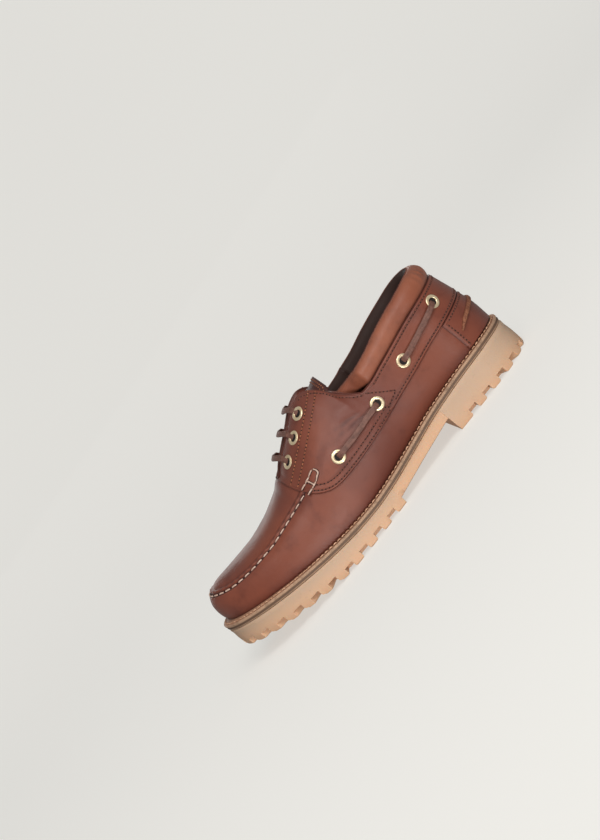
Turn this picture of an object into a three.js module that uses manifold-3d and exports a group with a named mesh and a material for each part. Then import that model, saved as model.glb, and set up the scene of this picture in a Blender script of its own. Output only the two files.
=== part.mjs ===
// Boat shoe, left foot, adult EU 42, standing empty on its sole. Millimetres, +Z up.
// The toe points to -Y, the heel to +Y and the outer (lateral) side to +X.
// Along the shoe, s is the distance from the back of the heel. A "walk" runs round half the shoe:
// 0..1 fans round the heel, 1..2 goes along the side, 2..3 fans round the toe. side is 1 or -1,
// lateral or medial.
import * as THREE from 'three';
import { mergeVertices } from 'three/addons/utils/BufferGeometryUtils.js';
import Module from 'manifold-3d';

const wasm = await Module();
wasm.setup();

// ---- driving dimensions ----
const LENGTH = 302; // outsole, heel to toe
const HEEL = 42; // s of the heel's centre, where the heel fan turns
const BALL = 200; // s of the widest place, where the toe fan turns
const TOE_TURN = 5; // how far the toe leans to the medial side
const WALL = 2.2; // leather and lining of the upper
const GAP = 0.3; // between neighbouring pieces
const FOOT_GAP = 0.55; // under the upper's lower edge, whose facets bridge a curved welt
const BAND = 5; // height of the leather midsole band
const HEEL_BREAST = 82; // s of the heel block's front face
const THROAT = 192; // s of the front of the throat's opening
const TREAD_BACK = 147; // s where the forefoot tread starts
const SPRING_START = 208; // s where the sole leaves the floor
const TOE_SPRING = 17; // height of the tread under the toe tip
const LUG_DEPTH = 5.5;
const LUG_PITCH = 16;
const GROOVE = 7.4; // width of the gap between two lugs
const LUG_REACH = 17; // how far a gap runs in from the side
const GROOVE_OUT = 2; // how far its cutter stands out past the side
const GROOVE_UNDER = 4; // and below the tread
const CROWN_REACH = 66; // how far in front of the ball the crest over the toes is drawn in to
const EDGE_BEND = 11; // length of the wall's upper bend, below the shoulder
const SEAM_OUT = 9; // how far the wall swells past the toe seam beside the ball
const SEAM_OUT_TOE = 6; // and at the tip of the toe
const SEAM_UNDER = 1.5; // the swell's height below the seam
const UPRIGHT = 0.02; // a section whose width changes less than this has no arch
const INSOLE_CLEAR = 1.2; // between the insole and the upper's wall
const INSOLE_TOP = 3.5; // above the welt

// ---- section tables, one row for each section along the shoe ----
// half widths of the outsole, and how much wider the lateral and narrower the medial half is
const SOLE = columns(['s', 'half', 'lateral', 'medial'], [
  [42, 40.0, 1.00, 1.00],
  [80, 39.8, 1.03, 0.97],
  [110, 41.5, 1.04, 0.95],
  [138, 46.5, 1.03, 0.96],
  [165, 51.8, 1.02, 0.98],
  [200, 55.0, 1.00, 1.00],
]);
// height of the welt's top, on which the upper stands
const WELT = columns(['s', 'top'], [
  [0, 29.3], [22, 30.0], [42, 29.6], [82, 27.2], [122, 22.0], [145, 19.6], [162, 18.9],
  [182, 19.6], [200, 21.4], [240, 27.2], [269, 32.3], [302, 38.8],
]);
// the upper's wall: half widths at the feather line and at the shoulder, the shoulder's height,
// how far the wall swells out and up from the feather line, and how sharp the shoulder's seam is
const SIDE = columns(['s', 'feather', 'shoulder', 'height', 'out', 'up', 'crease'], [
  [4, 38.0, 38.2, 57.0, 0.6, 10, 0],
  [42, 36.0, 38.8, 57.0, 3.5, 10, 0],
  [80, 35.2, 42.3, 57.0, 7.5, 9, 0],
  [112, 36.6, 44.6, 59.0, 8.0, 10, 0],
  [138, 41.2, 46.2, 62.4, 7.0, 11, 0],
  [160, 45.6, 45.4, 66.4, 5.0, 12, 0],
  [170, 47.4, 44.2, 65.6, 4.4, 13, 0.2],
  [182, 48.8, 42.6, 61.0, 4.0, 13, 0.8],
  [190, 49.2, 41.6, 58.6, 3.6, 13, 1],
  [200, 49.6, 40.6, 56.8, 3.5, 13, 1],
  [216, 49.0, 39.0, 54.7, 3.5, 13, 1],
  [233, 49.0, 38.0, 52.9, 3.5, 12, 1],
  [250, 49.0, 38.0, 53.0, 3.5, 11, 1],
  [269, 49.0, 38.0, 54.5, 3.2, 9, 1],
  [290, 49.0, 38.0, 60.2, 2.8, 8, 1],
]);
// the upper's top edge, from the collar seam round the throat to the front of the opening, and
// then the crest of the toe; power is how square the arch over the foot is
const EDGE = columns(['s', 'half', 'height', 'power'], [
  [4, 34.6, 85.3, 1], [22, 37.2, 84.0, 1], [42, 38.6, 81.9, 1], [82, 42.4, 75.9, 1],
  [98, 43.6, 73.8, 1.5], [104, 43.5, 73.8, 2.2], [109, 42.4, 77.6, 3.0], [115, 38.2, 85.0, 3.4],
  [120, 29.0, 93.4, 3.4], [125, 21.6, 99.2, 3.3], [129, 17.0, 102.2, 3.2], [134, 14.2, 103.6, 3.1],
  [139, 13.4, 102.9, 3.0], [160, 12.8, 92.4, 2.7], [182, 13.4, 80.4, 2.4], [188, 14.6, 76.4, 2.3],
  [192, 0, 76.4, 2.4], [200, 0, 72.2, 2.5], [208, 0, 69.2, 2.7], [223, 0, 64.8, 2.9],
  [243, 0, 62.3, 3], [263, 0, 62.9, 3], [284, 0, 64.9, 3], [296, 0, 65.6, 3],
]);
const HEEL_END = { sole: 42, power: 2.15 };
const TOE_END = { sole: 102, feather: 95, seam: 89.5, power: 2.2, seamPower: 2.45 };

function columns(names, rows) {
  const table = {};
  names.forEach((name, i) => { table[name] = rows.map((row) => row[i]); });
  return table;
}

// Smooth curve through a column, with no overshoot. flat makes it level at both ends.
function along(table, name, s, flat = false) {
  const xs = table.s;
  const ys = table[name];
  const last = xs.length - 1;
  if (s <= xs[0]) return ys[0];
  if (s >= xs[last]) return ys[last];
  const i = xs.findIndex((x) => x > s) - 1;
  const chord = (k) => (ys[k + 1] - ys[k]) / (xs[k + 1] - xs[k]);
  const slope = (k) => {
    if (k === 0 || k === last) return flat ? 0 : chord(k === 0 ? 0 : last - 1);
    const [a, b] = [chord(k - 1), chord(k)];
    return a * b <= 0 ? 0 : (2 * a * b) / (a + b);
  };
  const h = xs[i + 1] - xs[i];
  const t = (s - xs[i]) / h;
  return ys[i] * (1 + 2 * t) * (1 - t) ** 2 + ys[i + 1] * t * t * (3 - 2 * t)
    + slope(i) * h * t * (1 - t) ** 2 - slope(i + 1) * h * t * t * (1 - t);
}

const range = (n, from, to) => Array.from({ length: n + 1 }, (_, i) => from + ((to - from) * i) / n);
const mix = (a, b, t) => a + (b - a) * t;

// ---- the last: where a walk's ray starts and points, in plan as [x, s] ----
function ray(walk, side) {
  if (walk < 1) {
    const turn = (walk * Math.PI) / 2;
    return { from: [0, HEEL], to: [side * Math.sin(turn), -Math.cos(turn)], turn, end: 'heel' };
  }
  if (walk > 2) {
    const turn = ((3 - walk) * Math.PI) / 2;
    return { from: [0, BALL], to: [side * Math.sin(turn), Math.cos(turn)], turn, end: 'toe' };
  }
  return { from: [0, mix(HEEL, BALL, walk - 1)], to: [side, 0], turn: Math.PI / 2, end: '' };
}

const walkAt = (s) => 1 + (s - HEEL) / (BALL - HEEL);

// radius of a rounded end whose length is a and half width w
function rounded(turn, a, w, power) {
  const across = Math.abs(Math.sin(turn) / w) ** power;
  return (Math.abs(Math.cos(turn) / a) ** power + across) ** (-1 / power);
}

const fullness = (s, side) => along(SOLE, side > 0 ? 'lateral' : 'medial', s, true);

// length of a ray out to one column of a table
function reach(walk, side, table, name, heelEnd, toeEnd, toePower) {
  const { from, turn, end } = ray(walk, side);
  if (end === 'heel') return rounded(turn, heelEnd, along(table, name, HEEL), HEEL_END.power);
  if (end === 'toe') return rounded(turn, toeEnd, along(table, name, BALL), toePower);
  return along(table, name, from[1], name !== 'half' || table === SOLE) * fullness(from[1], side);
}

// place at a distance out along a ray; returns [x, s]
function onRay(walk, side, length) {
  const { from, to } = ray(walk, side);
  return [from[0] + to[0] * length, from[1] + to[1] * length];
}

// the toe leans to the medial side
const lean = (s) => (s > BALL ? -TOE_TURN * ((s - BALL) / (LENGTH - BALL)) ** 2 : 0);
const place = ([x, s], z) => new THREE.Vector3(x + lean(s), LENGTH / 2 - s, z);

const soleRadius = (walk, side) => reach(walk, side, SOLE, 'half', HEEL_END.sole, TOE_END.sole,
  TOE_END.power);
const weltTop = (s) => along(WELT, 'top', s);

// A point of the upper's outer face. up runs 0..1 from the feather line to the shoulder and 1..2
// from there to the top edge or the crest.
function upperPoint(walk, side, up) {
  const feather = reach(walk, side, SIDE, 'feather', SIDE.feather[0], TOE_END.feather, TOE_END.power);
  const shoulder = reach(walk, side, SIDE, 'shoulder', SIDE.shoulder[0], TOE_END.seam,
    TOE_END.seamPower);
  const foot = onRay(walk, side, feather);
  const seam = onRay(walk, side, shoulder);
  const seamZ = along(SIDE, 'height', seam[1]);
  const crest = walk > 2;
  const turn = ray(walk, side).turn;
  const edge = crest ? [0, BALL + CROWN_REACH * Math.cos(turn)]
    : onRay(walk, side, reach(walk, side, EDGE, 'half', EDGE.half[0], 0, 1));
  const edgeReach = crest ? 0 : Math.hypot(edge[0], edge[1] - ray(walk, side).from[1]);
  const rest = edgeReach / shoulder;
  const power = along(EDGE, 'power', edge[1]);
  if (up >= 1) {
    const part = up - 1;
    const rho = mix(1, rest, part);
    const rise = Math.abs(1 - rest) < UPRIGHT ? part : (1 - rho ** power) / (1 - rest ** power);
    const spot = [mix(seam[0], edge[0], part), mix(seam[1], edge[1], part)];
    const top = along(EDGE, 'height', crest ? spot[1] : edge[1]);
    return place(spot, mix(seamZ, top, rise));
  }
  // the wall is a Bezier curve in the ray's own plane, radius against height
  const top = along(EDGE, 'height', edge[1]);
  const steep = Math.abs(1 - rest) < UPRIGHT ? 1 : (power * (1 - rest)) / (1 - rest ** power);
  const run = new THREE.Vector2(edgeReach - shoulder, (top - seamZ) * steep).setLength(EDGE_BEND);
  const crease = along(SIDE, 'crease', seam[1]);
  const swell = walk > 2 ? mix(SEAM_OUT, SEAM_OUT_TOE, walk - 2) : SEAM_OUT;
  const p0 = new THREE.Vector2(feather, weltTop(foot[1]) + FOOT_GAP);
  const p1 = new THREE.Vector2(along(SIDE, 'out', foot[1]), along(SIDE, 'up', foot[1])).add(p0);
  const p3 = new THREE.Vector2(shoulder, seamZ);
  const p2 = p3.clone().sub(run)
    .lerp(new THREE.Vector2(shoulder + swell, seamZ - SEAM_UNDER), crease);
  const t = up;
  const radius = (1 - t) ** 3 * p0.x + 3 * t * (1 - t) ** 2 * p1.x + 3 * t * t * (1 - t) * p2.x
    + t ** 3 * p3.x;
  const z = (1 - t) ** 3 * p0.y + 3 * t * (1 - t) ** 2 * p1.y + 3 * t * t * (1 - t) * p2.y
    + t ** 3 * p3.y;
  return place(onRay(walk, side, radius), z);
}

// outward direction of the upper's face, level across the shoe on its centre line
function upperNormal(walk, side, up) {
  const d = 0.01;
  const back = walk < d ? upperPoint(d, -side, up) : upperPoint(walk - d, side, up);
  const fore = walk > 3 - d ? upperPoint(3 - d, -side, up) : upperPoint(Math.min(walk + d, 3), side, up);
  const low = upperPoint(walk, side, Math.max(up - d, 0));
  const onCrest = up > 2 - d && walk > walkAt(THROAT) - 1e-6;
  const high = onCrest ? upperPoint(walk, -side, 2 - d) : upperPoint(walk, side, Math.min(up + d, 2));
  return high.sub(low).cross(fore.sub(back)).multiplyScalar(side).normalize();
}

const upperOffset = (walk, side, up, out) => upperPoint(walk, side, up)
  .addScaledVector(upperNormal(walk, side, up), out);

// ---- mesh building ----
// Collects the triangles of one closed skin.
class Skin {
  constructor() { this.corners = []; }

  quad(a, b, c, d) {
    this.triangle(a, b, c);
    this.triangle(a, c, d);
  }

  triangle(a, b, c) {
    if (a.distanceTo(b) > 1e-4 && b.distanceTo(c) > 1e-4 && c.distanceTo(a) > 1e-4) {
      this.corners.push(a, b, c);
    }
  }

  // grid is rows of equal length
  sheet(grid, flip = false) {
    for (let i = 0; i + 1 < grid.length; i += 1) {
      for (let j = 0; j + 1 < grid[i].length; j += 1) {
        const [a, b, c, d] = [grid[i][j], grid[i][j + 1], grid[i + 1][j + 1], grid[i + 1][j]];
        this.quad(...(flip ? [a, d, c, b] : [a, b, c, d]));
      }
    }
  }

  geometry() {
    const flat = new THREE.BufferGeometry().setFromPoints(this.corners);
    return mergeVertices(flat, 1e-3);
  }
}

// a closed plate between an outer and an inner grid of points, with its four rims
function plate(outer, inner) {
  const skin = new Skin();
  const lastRow = outer.length - 1;
  const lastPoint = outer[0].length - 1;
  const pick = (grid, j) => grid.map((row) => row[j]);
  skin.sheet(outer);
  skin.sheet(inner, true);
  skin.sheet([inner[0], outer[0]]);
  skin.sheet([outer[lastRow], inner[lastRow]]);
  skin.sheet([pick(outer, 0), pick(inner, 0)]);
  skin.sheet([pick(inner, lastPoint), pick(outer, lastPoint)]);
  return skin.geometry();
}

// a closed tube through rings of points, with a fan of triangles over each end
function tube(rings) {
  const skin = new Skin();
  skin.sheet(rings.map((ring) => [...ring, ring[0]]));
  for (const [ring, flip] of [[rings[0], false], [rings.at(-1), true]]) {
    const middle = ring.reduce((sum, p) => sum.add(p), new THREE.Vector3()).divideScalar(ring.length);
    ring.forEach((p, i) => {
      const next = ring[(i + 1) % ring.length];
      skin.triangle(...(flip ? [middle, p, next] : [middle, next, p]));
    });
  }
  return skin.geometry();
}

function toManifold(geometry) {
  const bare = geometry.clone();
  bare.deleteAttribute('normal');
  bare.deleteAttribute('uv');
  const merged = mergeVertices(bare, 1e-4);
  const mesh = new wasm.Mesh({
    numProp: 3,
    vertProperties: new Float32Array(merged.attributes.position.array),
    triVerts: new Uint32Array(merged.index.array),
  });
  return new wasm.Manifold(mesh);
}

function fromManifold(solid) {
  const mesh = solid.getMesh();
  const geometry = new THREE.BufferGeometry();
  geometry.setAttribute('position', new THREE.BufferAttribute(mesh.vertProperties, 3));
  geometry.setIndex(new THREE.BufferAttribute(mesh.triVerts, 1));
  return geometry;
}

// ---- colours ----
const GUM = 0xb98a62;
const BAND_TAN = 0x8a6240;
const CHARCOAL = 0x2b2928;
const BROWN = 0x7a4034;
const TONGUE_BROWN = 0x5f2a22;
const RAW_EDGE = 0x8a5a3c;
const COLLAR_TAN = 0x9c5a44;
const BRASS = 0xd8c08a;
const LACE_BROWN = 0x6b4a40;

const group = new THREE.Group();

function addPiece(name, geometry, color, roughness, metalness = 0) {
  const material = new THREE.MeshStandardMaterial({ color, roughness, metalness });
  const mesh = new THREE.Mesh(geometry, material);
  mesh.name = name;
  group.add(mesh);
  return mesh;
}

// ---- sole ----
// A slab with the sole's outline, drawn in by inset, between two heights that follow s.
function slab(walks, radius, low, high) {
  const skin = new Skin();
  const ring = (side, height) => walks.map((walk) => {
    const spot = onRay(walk, side, radius(walk, side));
    return place(spot, height(spot[1]));
  });
  const [topL, topM, lowL, lowM] = [ring(1, high), ring(-1, high), ring(1, low), ring(-1, low)];
  skin.sheet([topM, topL]);
  skin.sheet([lowM, lowL], true);
  skin.sheet([lowL, topL], true);
  skin.sheet([lowM, topM]);
  return skin.geometry();
}

const soleWalks = [
  ...range(8, 0, 1),
  ...[62, HEEL_BREAST - 0.1, HEEL_BREAST + 0.1, 102, 124, TREAD_BACK - 0.1, TREAD_BACK + 0.1, 164, 182]
    .map(walkAt),
  ...range(16, 2, 3),
];

// height of the sole's underside: heel block, shank, flat tread, then the toe spring
function underside(s) {
  if (s < HEEL_BREAST) return 0;
  if (s < TREAD_BACK) return mix(13, 5, (s - HEEL_BREAST) / (TREAD_BACK - HEEL_BREAST));
  const sprung = Math.max(0, s - SPRING_START) / (LENGTH - SPRING_START);
  return TOE_SPRING * sprung ** 1.15;
}

// walks at even steps of the outline, from one end of the shoe until s passes a limit
function lugWalks(start, step, stop) {
  const found = [];
  let travelled = 0;
  let next = LUG_PITCH / 2;
  const spot = (walk) => onRay(walk, 1, soleRadius(walk, 1));
  for (let walk = start; !stop(spot(walk)[1]); walk += step) {
    const [a, b] = [spot(walk), spot(walk + step)];
    travelled += Math.hypot(b[0] - a[0], b[1] - a[1]);
    if (travelled >= next) {
      found.push(walk + step);
      next += LUG_PITCH;
    }
  }
  return found;
}

function makeOutsole() {
  let solid = toManifold(slab(soleWalks, soleRadius, underside, (s) => weltTop(s) - BAND - GAP));
  const gaps = [
    ...lugWalks(0, 0.002, (s) => s > HEEL_BREAST - 8),
    ...lugWalks(3, -0.002, (s) => s < TREAD_BACK + 8),
  ];
  for (const walk of gaps) {
    for (const side of [1, -1]) {
      const radius = soleRadius(walk, side);
      const middle = onRay(walk, side, radius - LUG_REACH / 2 + GROOVE_OUT);
      const floor = underside(onRay(walk, side, radius)[1]);
      const { to } = ray(walk, side);
      const high = LUG_DEPTH + GROOVE_UNDER;
      const box = new THREE.BoxGeometry(LUG_REACH + 2 * GROOVE_OUT, GROOVE, high);
      box.rotateZ(Math.atan2(-to[1], to[0]));
      const at = place(middle, floor + LUG_DEPTH - high / 2);
      box.translate(at.x, at.y, at.z);
      solid = solid.subtract(toManifold(box));
    }
  }
  return fromManifold(solid);
}

addPiece('outsole', makeOutsole(), GUM, 0.7);

const bandWalks = [...range(8, 0, 1), ...[62, 82, 102, 124, 147, 164, 182].map(walkAt), ...range(16, 2, 3)];
addPiece('midsole', slab(bandWalks, soleRadius, (s) => weltTop(s) - BAND, weltTop), BAND_TAN, 0.75);

const insoleRadius = (walk, side) => reach(walk, side, SIDE, 'feather', SIDE.feather[0],
  TOE_END.feather, TOE_END.power) - WALL - INSOLE_CLEAR;
addPiece('insole', slab(bandWalks, insoleRadius, (s) => weltTop(s) + GAP,
  (s) => weltTop(s) + INSOLE_TOP), CHARCOAL, 0.85);

// ---- upper ----
// One hollow wall: open underneath, at the collar and at the throat, closed over the toe.
const upperWalks = [
  ...range(9, 0, 1).slice(0, -1),
  ...[42, 58, 74, 88, 98, 104, 107, 111, 115, 119, 123, 127, 132, 140, 150, 160, 171, 182, 188, THROAT]
    .map(walkAt),
  ...range(14, 2, 3),
];
const UPPER_RISE = [0, 0.24, 0.48, 0.74, 1, 1.14, 1.32, 1.52, 1.72, 1.87, 2];

function makeUpper() {
  const skin = new Skin();
  const wall = (side, out) => upperWalks.map((walk) => UPPER_RISE.map(
    (up) => upperOffset(walk, side, up, out),
  ));
  // points on the centre line are shared by both sides
  const centre = (grid) => grid.map((row, i) => row.map((p, j) => {
    const onLine = i === 0 || i === grid.length - 1
      || (j === row.length - 1 && upperWalks[i] > walkAt(THROAT) - 1e-6);
    return onLine ? new THREE.Vector3(lean(LENGTH / 2 - p.y), p.y, p.z) : p;
  }));
  for (const side of [1, -1]) {
    const [outer, inner] = [centre(wall(side, 0)), centre(wall(side, -WALL))];
    skin.sheet(outer, side < 0);
    skin.sheet(inner, side > 0);
    const low = [outer, inner].map((grid) => grid.map((row) => row[0]));
    const open = upperWalks.filter((walk) => walk <= walkAt(THROAT) + 1e-6).length;
    const rim = [outer, inner].map((grid) => grid.slice(0, open).map((row) => row.at(-1)));
    skin.sheet(low, side < 0);
    skin.sheet(rim, side > 0);
  }
  return skin.geometry();
}

addPiece('upper', makeUpper(), BROWN, 0.4);

// ---- tongue ----
// A curved tab that follows the arch over the foot from under the front of the throat, and
// rises free of it above the collar.
const TONGUE = columns(['s', 'half'], [
  [116, 21], [117.5, 26.5], [122, 28], [176, 28], [187, 26], [197, 24],
]);
const TONGUE_THICK = 2;
const TONGUE_GAP = 1.3;
const TONGUE_FREE = 131; // s where it starts to rise from the arch
const TONGUE_RISE = 4.5;
const ARCH_BACK = 125; // the arch's shape is carried on behind this s

// height of the whole arch over the foot, as if the throat were closed
function archHeight(s, x) {
  const at = Math.max(s, ARCH_BACK);
  const walk = walkAt(Math.min(at, BALL));
  const side = x < 0 ? -1 : 1;
  const shoulder = reach(walk, side, SIDE, 'shoulder', 0, 0, 1);
  const seamZ = along(SIDE, 'height', at);
  const power = along(EDGE, 'power', at);
  const open = (reach(walk, side, EDGE, 'half', 0, 0, 1) / shoulder) ** power;
  const crest = seamZ + (along(EDGE, 'height', at) - seamZ) / (1 - open);
  return crest - (crest - seamZ) * Math.min(1, Math.abs(x) / shoulder) ** power;
}

function tonguePoint(s, part, depth) {
  const half = along(TONGUE, 'half', s);
  const x = half * part;
  const d = 0.5;
  const slope = (archHeight(s, x + d) - archHeight(s, x - d)) / (2 * d);
  const free = Math.max(0, TONGUE_FREE - s) / (TONGUE_FREE - TONGUE.s[0]);
  const lift = TONGUE_RISE * free ** 1.4 * (1 - Math.abs(part) ** 1.3);
  return place([x, s], archHeight(s, x) + lift - depth * Math.hypot(1, slope));
}

function makeTongue() {
  const skin = (depth) => range(14, TONGUE.s[0], TONGUE.s.at(-1)).map(
    (s) => range(10, 1, -1).map((part) => tonguePoint(s, part, depth)),
  );
  return plate(skin(WALL + TONGUE_GAP), skin(WALL + TONGUE_GAP + TONGUE_THICK));
}

addPiece('tongue', makeTongue(), TONGUE_BROWN, 0.5);

// ---- overlays: leather pieces sewn on over the upper's face ----
// Each one is a shell standing off the upper by its own normals, cut to shape by a prism that
// runs straight across the shoe, so that its outline is true in the side view.
const LEATHER = 1.6;
const COVER = 1.2; // the counter's thinner cover

// walks forward from the back of the heel as far as s, given as [walk, side]
const sideSpots = (from, to, side) => {
  const walks = [walkAt(from), ...upperWalks.filter((w) => w > walkAt(from) && w < walkAt(to)),
    walkAt(to)];
  return walks.map((walk) => [walk, side]);
};
const heelSpots = (to) => {
  const walks = [...upperWalks.filter((w) => w < walkAt(to)), walkAt(to)];
  return [...walks.slice(1).reverse().map((walk) => [walk, -1]), ...walks.map((walk) => [walk, 1])];
};

function shell(spots, inner, thick) {
  const face = (out) => spots.map(([walk, side]) => UPPER_RISE.map(
    (up) => upperOffset(walk, side, up, out),
  ));
  const faces = [face(inner + thick), face(inner)];
  // spots that run forward along the medial side turn the plate inside out
  const mirrored = spots[0][1] < 0 && spots[1][0] > spots[0][0];
  return toManifold(plate(...(mirrored ? faces.reverse() : faces)));
}

// a prism across the shoe between two x, its outline given as [s, z] corners
function prism(outline, [from, to]) {
  const shape = new THREE.Shape(outline.map(([s, z]) => new THREE.Vector2(LENGTH / 2 - s, z)));
  const solid = new THREE.ExtrudeGeometry(shape, { depth: to - from, bevelEnabled: false });
  solid.translate(0, 0, from);
  solid.applyMatrix4(new THREE.Matrix4().makeBasis(
    new THREE.Vector3(0, 1, 0),
    new THREE.Vector3(0, 0, 1),
    new THREE.Vector3(1, 0, 0),
  ));
  return toManifold(solid);
}

const TALL = 120; // above every piece
const WIDE = 80; // beside every piece

// saddle: one on each side, from the facing down nearly to the welt
const SADDLE_BACK = 98.5;
const SADDLE_EDGE = [
  [SADDLE_BACK, 49.3], [112, 47.6], [122, 46.6], [132, 45.8], [142, 45.2], [152, 44.9], [160, 45.0],
  [166, 45.6], [171, 46.8], [175, 48.7], [179, 51.6], [182, 54.6], [185, 58.6], [187.6, 63.0],
  [189.8, 69.0], [191.6, 77.5],
];
const FACING_EDGE = 15; // x of its inner edge along the throat
for (const [name, side] of [['saddle_lateral', 1], ['saddle_medial', -1]]) {
  const spots = sideSpots(SADDLE_BACK - 4, THROAT, side);
  const reachX = [side * FACING_EDGE, side * WIDE].sort((a, b) => a - b);
  const low = SADDLE_EDGE.map(([s, z]) => [s + GAP, z]);
  const outline = [[low[0][0], TALL], ...low, [low.at(-1)[0], TALL]];
  addPiece(name, fromManifold(
    shell(spots, GAP, LEATHER).intersect(prism(outline, reachX)),
  ), BROWN, 0.4);
}

// quarter band: one piece right round the back under the collar
const BAND_EDGE = [[SADDLE_BACK, 49.3], [84, 51.4], [68, 53.4], [50, 56.0], [35, 58.1], [18, 60.2],
  [-9, 63]];
addPiece('quarter_band', fromManifold(
  shell(heelSpots(SADDLE_BACK + 4), GAP, LEATHER)
    .intersect(prism([...BAND_EDGE, [-9, TALL], [SADDLE_BACK, TALL]], [-WIDE, WIDE])),
), BROWN, 0.4);

// counter: the heel's cover below the band, down to just above the welt
const COUNTER_FRONT = 34.5;
addPiece('counter', fromManifold(
  shell(heelSpots(COUNTER_FRONT + 6), GAP, COVER).intersect(prism([
    [COUNTER_FRONT, 31.8], [COUNTER_FRONT, 57.7], [18, 59.8], [-9, 62.6], [-9, 31.8],
  ], [-WIDE, WIDE])),
), BROWN, 0.4);

// heel tab: a crescent of thicker leather on the counter, with a raw edge
const TAB_GAP = GAP + COVER + GAP;
addPiece('heel_tab', fromManifold(
  shell(heelSpots(COUNTER_FRONT + 6), TAB_GAP, LEATHER).intersect(prism([
    [28, 44.4], [26, 47.6], [20, 49.9], [12, 51.9], [-9, 54.2], [-9, 50.6], [10, 49], [20, 46.6],
  ], [-WIDE, WIDE])),
), RAW_EDGE, 0.5);

// ---- padded collar roll round the mouth ----
const RIM = columns(['s', 'height'], [
  [0, 100.5], [14, 100.3], [42, 97.2], [63, 93.8], [88, 88.6], [114, 86.2],
]);
const COLLAR_FRONT = 101; // s where the roll's lower edge ends behind the saddle
const COLLAR_SLANT = 0.74; // how far its end leans forward for each millimetre of height
const COLLAR_FOOT = 1.5; // the roll's lower edge above the seam
// the roll's section: inset from the seam, and height as a share of the roll's height
const COLLAR_SECTION = columns(['inset', 'rise'], [
  [-0.9, 0], [-2.1, 0.3], [-1.8, 0.6], [0.6, 0.88], [3.8, 1], [7.2, 0.9], [9.2, 0.55], [9.2, 0.1],
  [8, -0.5], [4.4, -0.5], [3.6, 0],
]);

function makeCollar() {
  const walks = [...range(9, 0, 1), ...[60, 78, 92, COLLAR_FRONT].map(walkAt)];
  const spots = [...walks.slice(1).reverse().map((walk) => [walk, -1]), ...walks.map((walk) => [walk, 1])];
  const rings = spots.map(([walk, side]) => {
    const seam = upperPoint(walk, side, 2);
    const outward = upperNormal(walk, side, 2).setZ(0).normalize();
    const s = LENGTH / 2 - seam.y;
    const foot = seam.z + COLLAR_FOOT;
    const high = along(RIM, 'height', s) - foot;
    const slant = COLLAR_SLANT * THREE.MathUtils.smoothstep(s, 66, COLLAR_FRONT);
    return COLLAR_SECTION.inset.map((inset, i) => {
      const rise = COLLAR_SECTION.rise[i] * high;
      const p = seam.clone().addScaledVector(outward, -inset);
      return p.set(p.x, p.y - slant * Math.max(0, rise), foot + rise);
    });
  });
  return tube(rings);
}

addPiece('collar', makeCollar(), COLLAR_TAN, 0.45);

// ---- eyelets ----
const EYELET = { hole: 2.9, outer: 5.2, rim: 0.5, thick: 0.9, sides: 10 };
const EYELET_CLEAR = 0.35; // the face's curve under a flat ring
const ON_LEATHER = GAP + LEATHER + GAP; // stand-off of trim that sits on an overlay
// from the front back: the lace's own eyelets on the facing, and the side lace's lower down
const FACING_EYELETS = columns(['s', 'height'], [[175.4, 79.7], [159.3, 87.6], [143.8, 96.1]]);
const SIDE_EYELETS = columns(['s', 'height'], [[151.5, 58.4], [105.2, 60.6], [69.9, 64.8], [24.8, 74]]);

// place and outward direction on the upper's face at a height, standing off by out
function onFace(s, height, side, out) {
  const walk = s < HEEL ? (Math.acos((HEEL - s) / SIDE.shoulder[0]) * 2) / Math.PI : walkAt(s);
  let [low, high] = [0, 2];
  for (let i = 0; i < 30; i += 1) {
    const middle = (low + high) / 2;
    if (upperPoint(walk, side, middle).z < height) low = middle;
    else high = middle;
  }
  return { at: upperOffset(walk, side, low, out), normal: upperNormal(walk, side, low) };
}

function makeEyelet(s, height, side) {
  const { hole, outer, rim, thick, sides } = EYELET;
  const profile = [[hole, 0], [outer, 0], [outer, rim], [hole, thick], [hole, 0]];
  const ring = new THREE.LatheGeometry(profile.map((p) => new THREE.Vector2(...p)), sides);
  const { at, normal } = onFace(s, height, side, ON_LEATHER + EYELET_CLEAR);
  ring.applyQuaternion(new THREE.Quaternion().setFromUnitVectors(new THREE.Vector3(0, 1, 0), normal));
  return ring.translate(at.x, at.y, at.z);
}

for (const [name, side] of [['lateral', 1], ['medial', -1]]) {
  for (const [kind, table] of [['eyelet', FACING_EYELETS], ['side_eyelet', SIDE_EYELETS]]) {
    table.s.forEach((s, i) => {
      addPiece(`${kind}_${name}_${i + 1}`, makeEyelet(s, table.height[i], side), BRASS, 0.3, 1);
    });
  }
}

// ---- lace: flat cord, bars over the throat and short runs along each side ----
const LACE = { width: 4.6, thick: 1.5 };

// a flat ribbon through places on a face, each with the direction it lies flat against
function ribbon(spots) {
  const rings = spots.map(({ at, normal }, i) => {
    const run = spots[Math.min(i + 1, spots.length - 1)].at.clone()
      .sub(spots[Math.max(i - 1, 0)].at).normalize();
    const across = new THREE.Vector3().crossVectors(run, normal).setLength(LACE.width / 2);
    const up = new THREE.Vector3().crossVectors(across, run).setLength(LACE.thick / 2);
    return [[1, 1], [1, -1], [-1, -1], [-1, 1]].map(
      ([a, b]) => at.clone().addScaledVector(across, a).addScaledVector(up, b),
    );
  });
  return tube(rings);
}

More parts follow.
